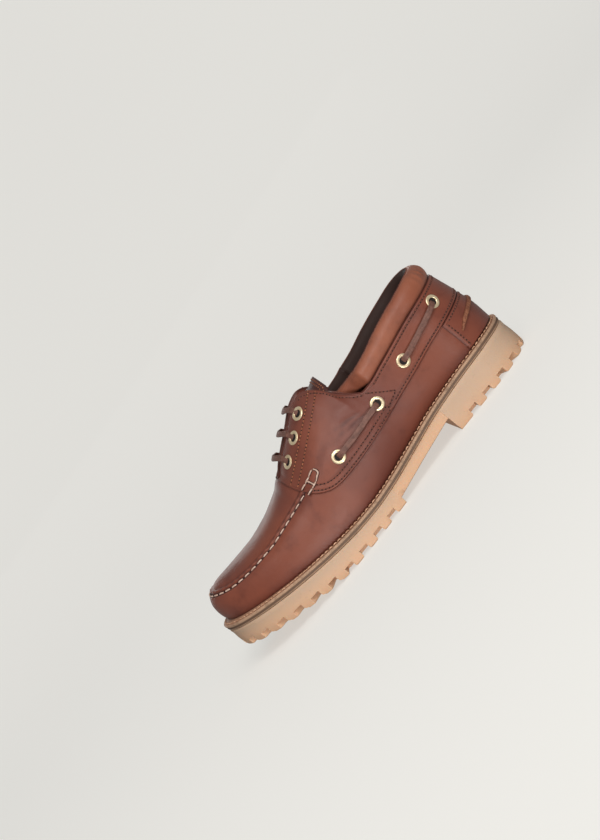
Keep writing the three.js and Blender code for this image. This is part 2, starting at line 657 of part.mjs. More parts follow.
const LACE_CLEAR = 4.9; // its centre above the upper's face at an eyelet
const BAR_BOW = 5.6; // how far a bar bows towards the toe
const BAR_SKEW = 1.3; // above 1 the bow is fullest on the medial side of the middle
const BAR_LIFT = 0.8; // how much higher it stands over the tongue
FACING_EYELETS.s.forEach((s, i) => {
  const [from, to] = [1, -1].map((side) => onFace(s, FACING_EYELETS.height[i], side, LACE_CLEAR));
  const spots = range(8, 0, 1).map((part) => {
    const at = from.at.clone().lerp(to.at, part);
    at.y -= BAR_BOW * Math.sin(Math.PI * part ** BAR_SKEW);
    const [left, over, right] = [-1, 0, 1].map((x) => archHeight(LENGTH / 2 - at.y, at.x + x));
    at.z = over + (LACE_CLEAR + BAR_LIFT) * Math.hypot(1, (right - left) / 2);
    const normal = from.normal.clone().lerp(to.normal, part).normalize();
    return { at, normal };
  });
  addPiece(`lace_bar_${i + 1}`, ribbon(spots), LACE_BROWN, 0.7);
});

for (const [name, side] of [['lateral', 1], ['medial', -1]]) {
  for (const [run, a] of [['front', 0], ['back', 2]]) {
    const spots = range(6, 0, 1).map((part) => onFace(
      mix(SIDE_EYELETS.s[a], SIDE_EYELETS.s[a + 1], part),
      mix(SIDE_EYELETS.height[a], SIDE_EYELETS.height[a + 1], part),
      side,
      LACE_CLEAR,
    ));
    addPiece(`side_lace_${name}_${run}`, ribbon(spots), LACE_BROWN, 0.7);
  }
}

// the last leans a little forward over the sole, and all that is built on it leans too
const LAST_LEAN = 0.035;
const LEAN_FROM = 25; // height where the lean starts
const SOLE_PIECES = ['outsole', 'midsole', 'insole'];
for (const mesh of group.children) {
  if (!SOLE_PIECES.includes(mesh.name)) {
    mesh.geometry.applyMatrix4(new THREE.Matrix4().makeShear(0, 0, 0, 0, 0, -LAST_LEAN));
    mesh.geometry.translate(0, LAST_LEAN * LEAN_FROM, 0);
  }
}

export default group;
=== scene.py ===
import math

import bpy
import numpy as np
from mathutils import Matrix, Vector


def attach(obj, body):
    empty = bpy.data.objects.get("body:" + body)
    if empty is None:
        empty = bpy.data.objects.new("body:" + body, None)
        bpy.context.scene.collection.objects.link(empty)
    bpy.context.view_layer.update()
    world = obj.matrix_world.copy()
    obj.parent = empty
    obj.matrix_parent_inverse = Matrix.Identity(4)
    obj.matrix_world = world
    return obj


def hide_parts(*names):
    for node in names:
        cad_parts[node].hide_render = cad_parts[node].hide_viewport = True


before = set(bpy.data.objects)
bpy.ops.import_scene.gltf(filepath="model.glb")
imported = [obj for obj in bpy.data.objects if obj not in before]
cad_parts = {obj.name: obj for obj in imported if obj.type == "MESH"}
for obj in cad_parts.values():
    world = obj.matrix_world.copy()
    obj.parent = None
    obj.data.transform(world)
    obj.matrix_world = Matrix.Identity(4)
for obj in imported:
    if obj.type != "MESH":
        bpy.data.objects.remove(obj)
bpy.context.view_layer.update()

# ------------------------------------------------------------------ the last
# Not a piece of the shoe but the form that its leather is pulled over, and the outline that its
# sole is cut to. Sections are tables in millimetres: s runs from the back of the heel to the toe.
MM = 0.001
LENGTH = 302.0
HEEL = 42.0  # s where the heel's fan of sections turns
BALL = 200.0  # s of the widest place, where the toe's fan turns
TOE_TURN = 5.0  # how far the toe's tip swings towards the big toe
LAST_LEAN = 0.035  # forward for each millimetre above the height where the lean starts
LEAN_FROM = 25.0


def columns(names, rows):
    return {name: np.array(column, float) for name, column in zip(names.split(), zip(*rows))}


SOLE = columns("s half lateral medial", [
    (42, 40.0, 1.00, 1.00), (80, 39.8, 1.03, 0.97), (110, 41.5, 1.04, 0.95), (138, 46.5, 1.03, 0.96),
    (165, 51.8, 1.02, 0.98), (200, 55.0, 1.00, 1.00),
])
WELT = columns("s top", [
    (0, 29.3), (22, 30.0), (42, 29.6), (82, 27.2), (122, 22.0), (145, 19.6), (162, 18.9),
    (182, 19.6), (200, 21.4), (240, 27.2), (269, 32.3), (302, 38.8),
])
SIDE = columns("s feather shoulder height out up crease", [
    (4, 38.0, 38.2, 57.0, 0.6, 10, 0), (42, 36.0, 38.8, 57.0, 3.5, 10, 0),
    (80, 35.2, 42.3, 57.0, 7.5, 9, 0), (112, 36.6, 44.6, 59.0, 8.0, 10, 0),
    (138, 41.2, 46.2, 62.4, 7.0, 11, 0), (160, 45.6, 45.4, 66.4, 5.0, 12, 0),
    (170, 47.4, 44.2, 65.6, 4.4, 13, 0.2), (182, 48.8, 42.6, 61.0, 4.0, 13, 0.8),
    (190, 49.2, 41.6, 58.6, 3.6, 13, 1), (200, 49.6, 40.6, 56.8, 3.5, 13, 1),
    (216, 49.0, 39.0, 54.7, 3.5, 13, 1), (233, 49.0, 38.0, 52.9, 3.5, 12, 1),
    (250, 49.0, 38.0, 53.0, 3.5, 11, 1), (269, 49.0, 38.0, 54.5, 3.2, 9, 1),
    (290, 49.0, 38.0, 60.2, 2.8, 8, 1),
])
EDGE = columns("s half height power", [
    (4, 34.6, 85.3, 1), (22, 37.2, 84.0, 1), (42, 38.6, 81.9, 1), (82, 42.4, 75.9, 1),
    (98, 43.6, 73.8, 1.5), (104, 43.5, 73.8, 2.2), (109, 42.4, 77.6, 3.0), (115, 38.2, 85.0, 3.4),
    (120, 29.0, 93.4, 3.4), (125, 21.6, 99.2, 3.3), (129, 17.0, 102.2, 3.2), (134, 14.2, 103.6, 3.1),
    (139, 13.4, 102.9, 3.0), (160, 12.8, 92.4, 2.7), (182, 13.4, 80.4, 2.4), (188, 14.6, 76.4, 2.3),
    (192, 0, 76.4, 2.4), (200, 0, 72.2, 2.5), (208, 0, 69.2, 2.7), (223, 0, 64.8, 2.9),
    (243, 0, 62.3, 3), (263, 0, 62.9, 3), (284, 0, 64.9, 3), (296, 0, 65.6, 3),
])
# how square the rounded ends are: the heel, the toe's outline, and the seam round the toe
HEEL_POWER, TOE_POWER, SEAM_POWER = 2.15, 2.2, 2.45
TOE_ENDS = {"sole": 102.0, "feather": 95.0, "shoulder": 89.5}
HEEL_ENDS = {"sole": 42.0, "feather": 38.0, "shoulder": 38.2, "edge": 34.6}
FOOT_GAP = 0.55  # between the upper's lower edge and the welt


def along(table, name, s, flat=False):
    """Smooth curve through a column, with no overshoot; flat makes it level at both ends."""
    xs, ys = table["s"], table[name]
    chord = np.diff(ys) / np.diff(xs)
    before, after = chord[:-1], chord[1:]
    steep = np.zeros(len(xs))
    both = np.where(before * after > 0, before + after, 1)
    steep[1:-1] = np.where(before * after > 0, 2 * before * after / both, 0)
    if not flat:
        steep[0], steep[-1] = chord[0], chord[-1]
    s = np.clip(s, xs[0], xs[-1])
    i = np.clip(np.searchsorted(xs, s, side="right") - 1, 0, len(xs) - 2)
    h = xs[i + 1] - xs[i]
    t = (s - xs[i]) / h
    ends = ys[i] * (1 + 2 * t) * (1 - t) ** 2 + ys[i + 1] * t * t * (3 - 2 * t)
    return ends + steep[i] * h * t * (1 - t) ** 2 - steep[i + 1] * h * t * t * (1 - t)


def mix(a, b, t):
    return a + (b - a) * t


def walk_at(s):
    return 1 + (s - HEEL) / (BALL - HEEL)


def ray(walk, side):
    """Where a section starts, its direction in plan as (x, s), and how far its fan has turned."""
    if walk < 1:
        turn = walk * math.pi / 2
        return HEEL, (side * math.sin(turn), -math.cos(turn)), turn
    if walk > 2:
        turn = (3 - walk) * math.pi / 2
        return BALL, (side * math.sin(turn), math.cos(turn)), turn
    return mix(HEEL, BALL, walk - 1), (side, 0.0), math.pi / 2


def reach(walk, side, table, name, piece, power):
    """How far a section runs out to one of the last's lines."""
    s, _, turn = ray(walk, side)
    flat = table is not EDGE
    if 1 <= walk <= 2:
        full = along(SOLE, "lateral" if side > 0 else "medial", s, True)
        return float(along(table, name, s, flat) * full)
    end, centre = (HEEL_ENDS, HEEL) if walk < 1 else (TOE_ENDS, BALL)
    power = HEEL_POWER if walk < 1 else power
    wide = abs(math.sin(turn) / float(along(table, name, centre))) ** power
    return (abs(math.cos(turn) / end[piece]) ** power + wide) ** (-1 / power)


def lean(s):
    return np.where(s > BALL, -TOE_TURN * (np.maximum(s - BALL, 0) / (LENGTH - BALL)) ** 2, 0.0)


def place(x, s, z):
    """Points in millimetres in the shoe's own frame, from x, s and height."""
    return np.stack(np.broadcast_arrays(x + lean(s), LENGTH / 2 - s, z), -1)


def leaning(points):
    """What stands on the last leans a little forward over the sole."""
    points = np.array(points)
    points[..., 1] -= LAST_LEAN * (points[..., 2] - LEAN_FROM)
    return points


def new_piece(name, points, faces, material, smooth=30):
    """A mesh piece from points in millimetres; faces is a list of corner lists."""
    mesh = bpy.data.meshes.new(name)
    mesh.from_pydata((np.asarray(points).reshape(-1, 3) * MM).tolist(), [], faces)
    mesh.validate()
    piece = bpy.data.objects.new(name, mesh)
    bpy.context.collection.objects.link(piece)
    for one in material if isinstance(material, (list, tuple)) else [material]:
        mesh.materials.append(one)
    bpy.ops.object.select_all(action="DESELECT")
    bpy.context.view_layer.objects.active = piece
    piece.select_set(True)
    bpy.ops.object.shade_smooth_by_angle(angle=math.radians(smooth))
    return piece


def grid_faces(rows, cols, start=0, flip=False, wrap=False):
    i, j = np.meshgrid(np.arange(rows - 1), np.arange(cols if wrap else cols - 1), indexing="ij")
    nxt = (j + 1) % cols
    quads = np.stack([i * cols + j, i * cols + nxt, (i + 1) * cols + nxt, (i + 1) * cols + j], -1)
    quads = quads.reshape(-1, 4) + start
    return (quads[:, ::-1] if flip else quads).tolist()


def closed_rings(rings, count):
    """Faces of a solid stacked from loops of count points, each end closed by rungs across it."""
    faces = grid_faces(rings, count, wrap=True)
    for k, turned in ((0, False), (rings - 1, True)):
        for i in range(count // 2):
            quad = [k * count + n % count for n in (i, i + 1, count - i - 1, count - i)]
            faces.append(list(dict.fromkeys(quad if turned else quad[::-1])))
    return faces


def plate_faces(rows, cols):
    """Faces of a closed plate: an outer grid of points and then an inner one."""
    half = rows * cols
    faces = grid_faces(rows, cols) + grid_faces(rows, cols, half, flip=True)
    index = np.arange(half).reshape(rows, cols)
    for edge, turned in ((index[0], False), (index[-1], True), (index[:, 0], True),
                         (index[:, -1], False)):
        for a, b in zip(edge[:-1], edge[1:]):
            quad = [int(a + half), int(b + half), int(b), int(a)]
            faces.append(quad if not turned else quad[::-1])
    return faces


class Wire:
    """A shader socket that can be used in sums; other nodes come from Wire.node."""

    tree = None

    def __init__(self, socket):
        self.socket = socket

    @classmethod
    def node(cls, kind, settings=None, inputs=None, output=0):
        made = cls.tree.nodes.new(kind)
        for key, value in (settings or {}).items():
            setattr(made, key, value)
        for key, value in (inputs or {}).items():
            cls.feed(made.inputs[key], value)
        return cls(made.outputs[output])

    @classmethod
    def feed(cls, socket, value):
        if isinstance(value, cls):
            cls.tree.links.new(value.socket, socket)
        else:
            socket.default_value = value

    def sum(self, operation, *others):
        return Wire.node("ShaderNodeMath", {"operation": operation}, dict(enumerate((self, *others))))

    def __add__(self, other):
        return self.sum("ADD", other)

    def __mul__(self, other):
        return self.sum("MULTIPLY", other)

    def __sub__(self, other):
        return self.sum("SUBTRACT", other)

    def __rsub__(self, other):
        return Wire.node("ShaderNodeMath", {"operation": "SUBTRACT"}, {0: other, 1: self})

    __radd__ = __add__

    def clamp(self):
        return Wire.node("ShaderNodeClamp", None, {"Value": self})

    def between(self, low, high):
        """0 below low, 1 above high, smooth between."""
        return Wire.node("ShaderNodeMapRange", {"interpolation_type": "SMOOTHSTEP"},
                         {"Value": self, "From Min": low, "From Max": high})


def tint(factor, a, b, blend="MIX"):
    """Colour mix of a and b, each a colour or a wire."""
    mixed = Wire.tree.nodes.new("ShaderNodeMix")
    mixed.data_type, mixed.blend_type = "RGBA", blend
    Wire.feed(mixed.inputs[0], factor)
    for spot, value in ((6, a), (7, b)):
        Wire.feed(mixed.inputs[spot], value if isinstance(value, Wire) else (*value, 1))
    return Wire(mixed.outputs[2])


def noise(scale, detail=3.0, rough=0.55, where=None):
    where = where or Wire.node("ShaderNodeTexCoord", output=3)
    return Wire.node("ShaderNodeTexNoise", None,
                     {"Vector": where, "Scale": scale, "Detail": detail, "Roughness": rough})


def start_material(name):
    material = bpy.data.materials.new(name)
    material.use_nodes = True
    Wire.tree = material.node_tree
    return material, material.node_tree.nodes["Principled BSDF"]


def dress(shader, colour, roughness, normal):
    """Feeds the three inputs that vary over a piece."""
    for socket, value in (("Base Color", colour), ("Roughness", roughness), ("Normal", normal)):
        Wire.feed(shader.inputs[socket], value)


def fix(shader, **values):
    """Sets inputs that are constant; an underscore stands for a space in an input's name."""
    for socket, value in values.items():
        shader.inputs[socket.replace("_", " ")].default_value = value


def bump(height, strength, distance):
    return Wire.node("ShaderNodeBump", None,
                     {"Height": height, "Strength": strength, "Distance": distance})


def attribute(name):
    return Wire.node("ShaderNodeAttribute", {"attribute_name": name}, output=2)


def mark(piece, name, values):
    """Stores one number at each point of a piece, for its material to read."""
    layer = piece.data.attributes.new(name, "FLOAT", "POINT")
    layer.data.foreach_set("value", np.asarray(values, np.float32).ravel())


# ------------------------------------------------------------------ outsole
# One moulding of translucent gum rubber: a heel block, a thin waist and a forefoot that springs up
# at the toe, cut by gaps all round its lower edge into lugs with rounded corners.
BAND = 5.0  # thickness of the leather band that lies on the rubber
GAP = 0.3  # between one piece and the next
HEEL_BREAST, TREAD_BACK = 82.0, 147.0  # s where the waist starts and ends
SPRING_START, TOE_SPRING = 208.0, 17.0
LUG_DEPTH, LUG_PITCH, LUG_REACH = 5.5, 16.0, 17.0
LUG_ROUND = 1.8
GROOVE = 7.4
GUM_TAN = (0.62, 0.43, 0.30)
GUM_WARM = (0.78, 0.46, 0.275)
GUM_SOOT = (0.27, 0.185, 0.13)


def welt_top(s):
    return along(WELT, "top", s)


def underside(s):
    shank = mix(13.0, 5.0, (s - HEEL_BREAST) / (TREAD_BACK - HEEL_BREAST))
    spring = TOE_SPRING * (np.maximum(s - SPRING_START, 0) / (LENGTH - SPRING_START)) ** 1.15
    return np.where(s < HEEL_BREAST, 0, np.where(s < TREAD_BACK, shank, spring))


def outline(walks, side, piece="sole", inset=0.0):
    """x and s of the sole's outline, or of another line of the last, drawn in by inset."""
    table, name = (SOLE, "half") if piece == "sole" else (SIDE, piece)
    spots = []
    for walk in walks:
        s, (dx, ds), _ = ray(walk, side)
        far = reach(walk, side, table, name, piece, TOE_POWER) - inset
        spots.append((dx * far, s + ds * far))
    return np.array(spots)


def ring_walks(heel, waist, toe):
    """Sections for a loop right round the shoe, out along +x and home along -x."""
    middle = [walk_at(s) for s in waist]
    return [*np.linspace(0, 1, heel), *middle, *np.linspace(2, 3, toe)]


def round_loop(walks, **kind):
    out, back = outline(walks, 1, **kind), outline(walks, -1, **kind)
    return np.concatenate([out, back[-2:0:-1]])


gum, shader = start_material("gum_rubber")
clouds = noise(22, 4)
warm = attribute("lug") * 0.85 + clouds * 0.25 - 0.1
dusty = noise(260, 5, 0.7).between(0.56, 0.72)
colour = tint(warm.clamp(), GUM_TAN, GUM_WARM)
colour = tint(dusty * 0.16, colour, GUM_SOOT)
dress(shader, colour, clouds * 0.18 + 0.46, bump(noise(900, 4, 0.6) + clouds * 0.6, 0.22, 0.0004))
fix(shader, Subsurface_Weight=0.12, Subsurface_Radius=(0.004, 0.002, 0.001), Subsurface_Scale=1.0,
    Specular_IOR_Level=0.35)

waist = [*np.arange(46, HEEL_BREAST - 1, 4), HEEL_BREAST - 0.2, HEEL_BREAST + 0.2,
         *np.arange(86, TREAD_BACK - 1, 4), TREAD_BACK - 0.2, TREAD_BACK + 0.2, *np.arange(151, 200, 4)]
sole_walks = ring_walks(40, waist, 70)
loop = round_loop(sole_walks)
low, top = underside(loop[:, 1]), welt_top(loop[:, 1]) - BAND - GAP
# the side swells a little below the band and draws in to the tread
SOLE_SECTION = [(0, 1.0), (0.06, 0.25), (0.5, 0.0), (0.8, 0.4), (0.93, 0.1), (1, 0.9)]
rings = [place(*round_loop(sole_walks, inset=inset).T, mix(low, top, level))
         for level, inset in SOLE_SECTION]
outsole = new_piece("outsole_rubber", np.concatenate(rings), closed_rings(len(rings), len(loop)), gum, 35)


def lug_gaps(start, step, stop):
    """Sections at even steps of the outline, from one end of the shoe until s passes a limit."""
    walks = np.arange(start, start + 900 * step, step)
    spots = outline(walks, 1)
    travelled = np.concatenate([[0], np.cumsum(np.hypot(*np.diff(spots, axis=0).T))])
    found = []
    for k in range(60):
        i = int(np.searchsorted(travelled, LUG_PITCH / 2 + k * LUG_PITCH))
        if i >= len(walks) or stop(spots[i][1]):
            return found
        found.append(walks[i])


# a gap's cutter is a bar with this section, wider at its mouth where the lugs' corners are rounded
wide = [(GROOVE / 2, LUG_DEPTH),
        *[(GROOVE / 2 + LUG_ROUND * (1 - math.sin(b)), LUG_ROUND * (1 - math.cos(b)))
          for b in np.linspace(math.pi / 2, 0, 5)],
        (GROOVE / 2 + LUG_ROUND, -4.0)]
section = wide + [(-w, h) for w, h in wide[::-1]]
count = len(section)
sides = [[(i + 1) % count, i, count + i, count + (i + 1) % count] for i in range(count)]
ends = [list(range(count)), list(range(count, 2 * count))[::-1]]
gaps = [*lug_gaps(0, 0.002, lambda s: s > HEEL_BREAST - 8),
        *lug_gaps(3, -0.002, lambda s: s < TREAD_BACK + 8)]
cutters = []
for walk in gaps:
    for side in (1, -1):
        spot = outline([walk], side)[0]
        mid = outline([walk], side, inset=LUG_REACH / 2 - 2)[0]
        centre = Vector(place(mid[0], mid[1], underside(spot[1])))
        _, (dx, ds), _ = ray(walk, side)
        inward = Vector((dx, -ds, 0)).normalized()
        aside = Vector((0, 0, 1)).cross(inward)
        corners = [centre + inward * (end * (LUG_REACH + 4) / 2) + aside * w + Vector((0, 0, h))
                   for end in (-1, 1) for w, h in section]
        cutters.append(new_piece("lug_gap", [tuple(p) for p in corners], sides + ends, gum, 35))
for cutter in cutters:
    cutter.select_set(True)
bpy.context.view_layer.objects.active = cutters[0]
bpy.ops.object.join()
cutter = bpy.context.object
bpy.context.view_layer.objects.active = outsole
cut = outsole.modifiers.new("lug gaps", "BOOLEAN")
cut.operation, cut.solver, cut.object = "DIFFERENCE", "EXACT", cutter
cut.use_self = True  # the bars meet one another inside the sole
bpy.ops.object.modifier_apply(modifier=cut.name)
bpy.data.objects.remove(cutter)
soft = outsole.modifiers.new("moulded corners", "BEVEL")
soft.width, soft.segments = 1.0 * MM, 3
soft.limit_method, soft.angle_limit = "ANGLE", math.radians(50)
bpy.ops.object.modifier_apply(modifier=soft.name)
# thin rubber lets the light through: the lugs and the lower edge look warmer
spots = np.array([v.co for v in outsole.data.vertices]) / MM
mark(outsole, "lug", np.clip(1.25 - (spots[:, 2] - underside(LENGTH / 2 - spots[:, 1])) / 11, 0, 1))
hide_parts("outsole")
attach(outsole, "root")

# ------------------------------------------------------------------ midsole and welt
# A band of stacked leather between rubber and upper. Its top shows as the welt, which a row of pale
# thread sews down through both; the cut side is waxed and darker in a line along its middle.
BAND_LIGHT = (0.54, 0.335, 0.215)
BAND_DARK = (0.15, 0.085, 0.052)
BAND_RED = (0.42, 0.20, 0.12)

band_leather, shader = start_material("midsole_leather")
level = attribute("level")
streak = noise(60, 5, 0.65) * 0.4 + noise(340, 4, 0.7) * 0.6
colour = tint(streak.between(0.22, 0.58), BAND_DARK, BAND_LIGHT)
line = (1 - level.between(0.44, 0.66)) * level.between(0.14, 0.32)
colour = tint((line * (0.25 + streak.between(0.25, 0.5))).clamp(), colour, BAND_DARK)
colour = tint(level.between(0.9, 1.0) * 0.55, colour, BAND_RED)
dress(shader, colour, streak * 0.25 + 0.5, bump(streak + noise(1500, 3) * 0.5, 0.5, 0.0005))

# level up the cut side and how far in, then across the welt with a furrow for the thread
BAND_SECTION = [(0, 0.9), (0.08, 0.2), (0.3, -0.1), (0.42, 0.35), (0.52, 0.25), (0.68, -0.25), (0.9, -0.2),
                (1, 0.6)]
WELT_SECTION = [(-0.28, 2.0), (0.02, 3.4), (0.02, 8.0)]
top = welt_top(loop[:, 1])
rings = [place(*round_loop(sole_walks, inset=inset).T, mix(top - BAND, top, level))
         for level, inset in BAND_SECTION]
rings += [place(*round_loop(sole_walks, inset=inset).T, top + rise) for rise, inset in WELT_SECTION]
midsole = new_piece("midsole_band", np.concatenate(rings), closed_rings(len(rings), len(loop)),
                    band_leather, 50)
levels = [level for level, _ in BAND_SECTION] + [1] * len(WELT_SECTION)
mark(midsole, "level", np.repeat(levels, len(loop)))
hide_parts("midsole")
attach(midsole, "root")

# one bead of thread: five rings, nearly straight, that dip into the leather at both ends
BEAD_RINGS = [(-1.0, 0.5), (-0.8, 0.95), (0.0, 1.0), (0.8, 0.95), (1.0, 0.5)]
BEAD_SIDES = 6


def even(path, pitch, start=0.5, margin=0.0):
    """Places at an even pitch along a path of (points, normals), with their directions."""
    points, normals = path
    steps = np.linalg.norm(np.diff(points, axis=0), axis=1)
    far = np.concatenate([[0], np.cumsum(steps)])
    spots = np.arange(margin + pitch * start, far[-1] - margin - pitch * 0.3, pitch)
    pick = lambda values, at: np.stack([np.interp(at, far, values[:, k]) for k in range(3)], 1)
    at, up = pick(points, spots), pick(normals, spots)
    run = pick(points, spots + 0.4) - pick(points, spots - 0.4)
    run /= np.linalg.norm(run, axis=1, keepdims=True)
    up -= run * (up * run).sum(1, keepdims=True)
    up /= np.linalg.norm(up, axis=1, keepdims=True)
    return at, run, up


def sew(name, paths, pitch, size, thread, start=0.5, margin=0.0, sink=0.35):
    """Rows of stitches as one mesh; size is a stitch's length, width and height."""
    length, width, height = size
    template = []
    for along_it, full in BEAD_RINGS:
        for k in range(BEAD_SIDES):
            angle = (k + 0.5) * 2 * math.pi / BEAD_SIDES
            rise = height * (0.5 - 0.5 * along_it ** 4 - sink)
            template.append((along_it * length / 2, math.cos(angle) * full * width / 2,
                             rise + math.sin(angle) * full * height / 2))
    template = np.array(template)
    faces_one = grid_faces(len(BEAD_RINGS), BEAD_SIDES, wrap=True, flip=True)
    last = (len(BEAD_RINGS) - 1) * BEAD_SIDES
    faces_one += [list(range(BEAD_SIDES)), list(range(last, last + BEAD_SIDES))[::-1]]
    points, faces = [], []
    for path in paths:
        at, run, up = even(path, pitch, start, margin)
        for a, r, w, u in zip(at, run, np.cross(up, run), up):
            base = len(points) * len(template)
            points.append(a + template @ np.stack([r, w, u]))
            faces += [[base + i for i in face] for face in faces_one]
    piece = new_piece(name, np.concatenate(points), faces, thread, 80)
    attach(piece, "root")
    return piece


def thread_material(name, pale, dark):
    material, shader = start_material(name)
    grime = noise(700, 3)
    dress(shader, tint(grime.between(0.35, 0.7), dark, pale), grime * 0.2 + 0.6,
          bump(noise(2600, 2), 0.4, 0.0002))
    return material


pale_thread = thread_material("pale_thread", (0.80, 0.60, 0.50), (0.56, 0.36, 0.27))
welt_thread = thread_material("welt_thread", (0.80, 0.50, 0.33), (0.48, 0.25, 0.14))
# dark beads for the needle holes, for the furrow under the toe seam's dashes and round the ladder's threads:
# painted shade in these holes and furrows
hole_shade_thread = thread_material("needle_holes", (0.020, 0.005, 0.004), (0.035, 0.009, 0.007))
loop = round_loop(sole_walks, inset=2.3)
loop = np.concatenate([loop, loop[:1]])
row = place(*loop.T, welt_top(loop[:, 1]) + 0.45)
welt_line = [(row, np.tile((0, 0, 1.0), (len(row), 1)))]
welt_row = sew("welt_stitches", welt_line, 4.1, (3.4, 1.2, 1.0), welt_thread, sink=0.25)

# ------------------------------------------------------------------ insole
# A charcoal leather footbed over foam, cupped a little at its edge, with two rows of pinholes.
insole_leather, shader = start_material("footbed_leather")
mottle = noise(90, 4)
dress(shader, tint(mottle, (0.016, 0.015, 0.015), (0.036, 0.034, 0.033)), mottle * 0.2 + 0.55,
      bump(noise(1400, 4, 0.6), 0.35, 0.0003))
WALL = 2.2  # the upper's leather and lining
INSOLE_CLEAR = 1.2
# rise above the welt and how far in
FOOTBED = [(0.3, 0.6), (2.2, 0.0), (3.2, 0.5), (3.5, 1.5), (3.5, 5), (3.1, 12), (2.9, 20)]


def footbed_loop(rise, inset):
    spots = round_loop(sole_walks, piece="feather", inset=WALL + INSOLE_CLEAR + inset)
    return place(*spots.T, welt_top(spots[:, 1]) + rise)


rings = [footbed_loop(rise, inset) for rise, inset in FOOTBED]
insole = new_piece("footbed", np.concatenate(rings), closed_rings(len(rings), len(rings[0])),
                   insole_leather, 60)
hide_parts("insole")
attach(insole, "root")
pinholes = thread_material("pinholes", (0.30, 0.29, 0.28), (0.16, 0.15, 0.15))
rows = [footbed_loop(3.48, 6.0), footbed_loop(3.43, 8.6)]
rows = [(row, np.tile((0, 0, 1.0), (len(row), 1))) for row in rows]
holes = sew("footbed_pinholes", rows, 4.2, (0.8, 0.8, 0.25), pinholes)

# ------------------------------------------------------------------ upper
# One shell of waxed leather lined with thin dark leather: the vamp comes up from the welt, and the
# plug over the toes is gathered onto it by hand along the seam that runs round the toe.
THROAT = 192.0  # s of the throat's front end
CROWN_REACH = 66.0  # how far in front of the ball the toe's crest is drawn in to
BEND_AT_EDGE = 11.0  # length of the handle that leads the wall's curve into the shoulder
LEATHER_MID = (0.180, 0.047, 0.029)
LEATHER_DEEP = (0.070, 0.012, 0.007)
LEATHER_WARM = (0.250, 0.066, 0.035)


def upper_column(walk, side, ups):
    """Points of the leather's face at one section; up is 0 at the welt, 1 at the shoulder, 2 on top."""
    feather = reach(walk, side, SIDE, "feather", "feather", TOE_POWER)
    shoulder = reach(walk, side, SIDE, "shoulder", "shoulder", SEAM_POWER)
    start, (dx, ds), turn = ray(walk, side)
    seam = np.array([dx * shoulder, start + ds * shoulder])
    seam_z = float(along(SIDE, "height", seam[1]))
    crest = walk > 2
    if crest:
        edge = np.array([0.0, BALL + CROWN_REACH * math.cos(turn)])
        edge_reach = 0.0
    else:
        edge_reach = reach(walk, side, EDGE, "half", "edge", 1.0)
        edge = np.array([dx * edge_reach, start + ds * edge_reach])
    rest = edge_reach / shoulder
    power = float(along(EDGE, "power", edge[1]))
    flat = abs(1 - rest) < 0.02
    part = np.maximum(ups - 1, 0)
    rho = mix(1, rest, part)
    rise = part if flat else (1 - rho ** power) / (1 - rest ** power)
    spots = seam[:, None] + (edge - seam)[:, None] * part
    top = along(EDGE, "height", spots[1] if crest else edge[1])
    over = place(spots[0], spots[1], mix(seam_z, top, rise))

    foot_s = start + ds * feather
    steep = 1 if flat else power * (1 - rest) / (1 - rest ** power)
    run = np.array([edge_reach - shoulder, (float(along(EDGE, "height", edge[1])) - seam_z) * steep])
    run *= BEND_AT_EDGE / np.hypot(*run)
    crease = float(along(SIDE, "crease", seam[1]))
    fanned = mix(9, 6, walk - 2) if crest else 9
    p0 = np.array([feather, float(welt_top(foot_s)) + FOOT_GAP])
    p1 = p0 + (float(along(SIDE, "out", foot_s)), float(along(SIDE, "up", foot_s)))
    p3 = np.array([shoulder, seam_z])
    p2 = mix(p3 - run, np.array([shoulder + fanned, seam_z - 1.5]), crease)
    t = np.minimum(ups, 1)[:, None]
    wall = (1 - t) ** 3 * p0 + 3 * t * (1 - t) ** 2 * p1 + 3 * t * t * (1 - t) * p2 + t ** 3 * p3
    under = place(dx * wall[:, 0], start + ds * wall[:, 0], wall[:, 1])
    return leaning(np.where((ups < 1)[:, None], under, over))


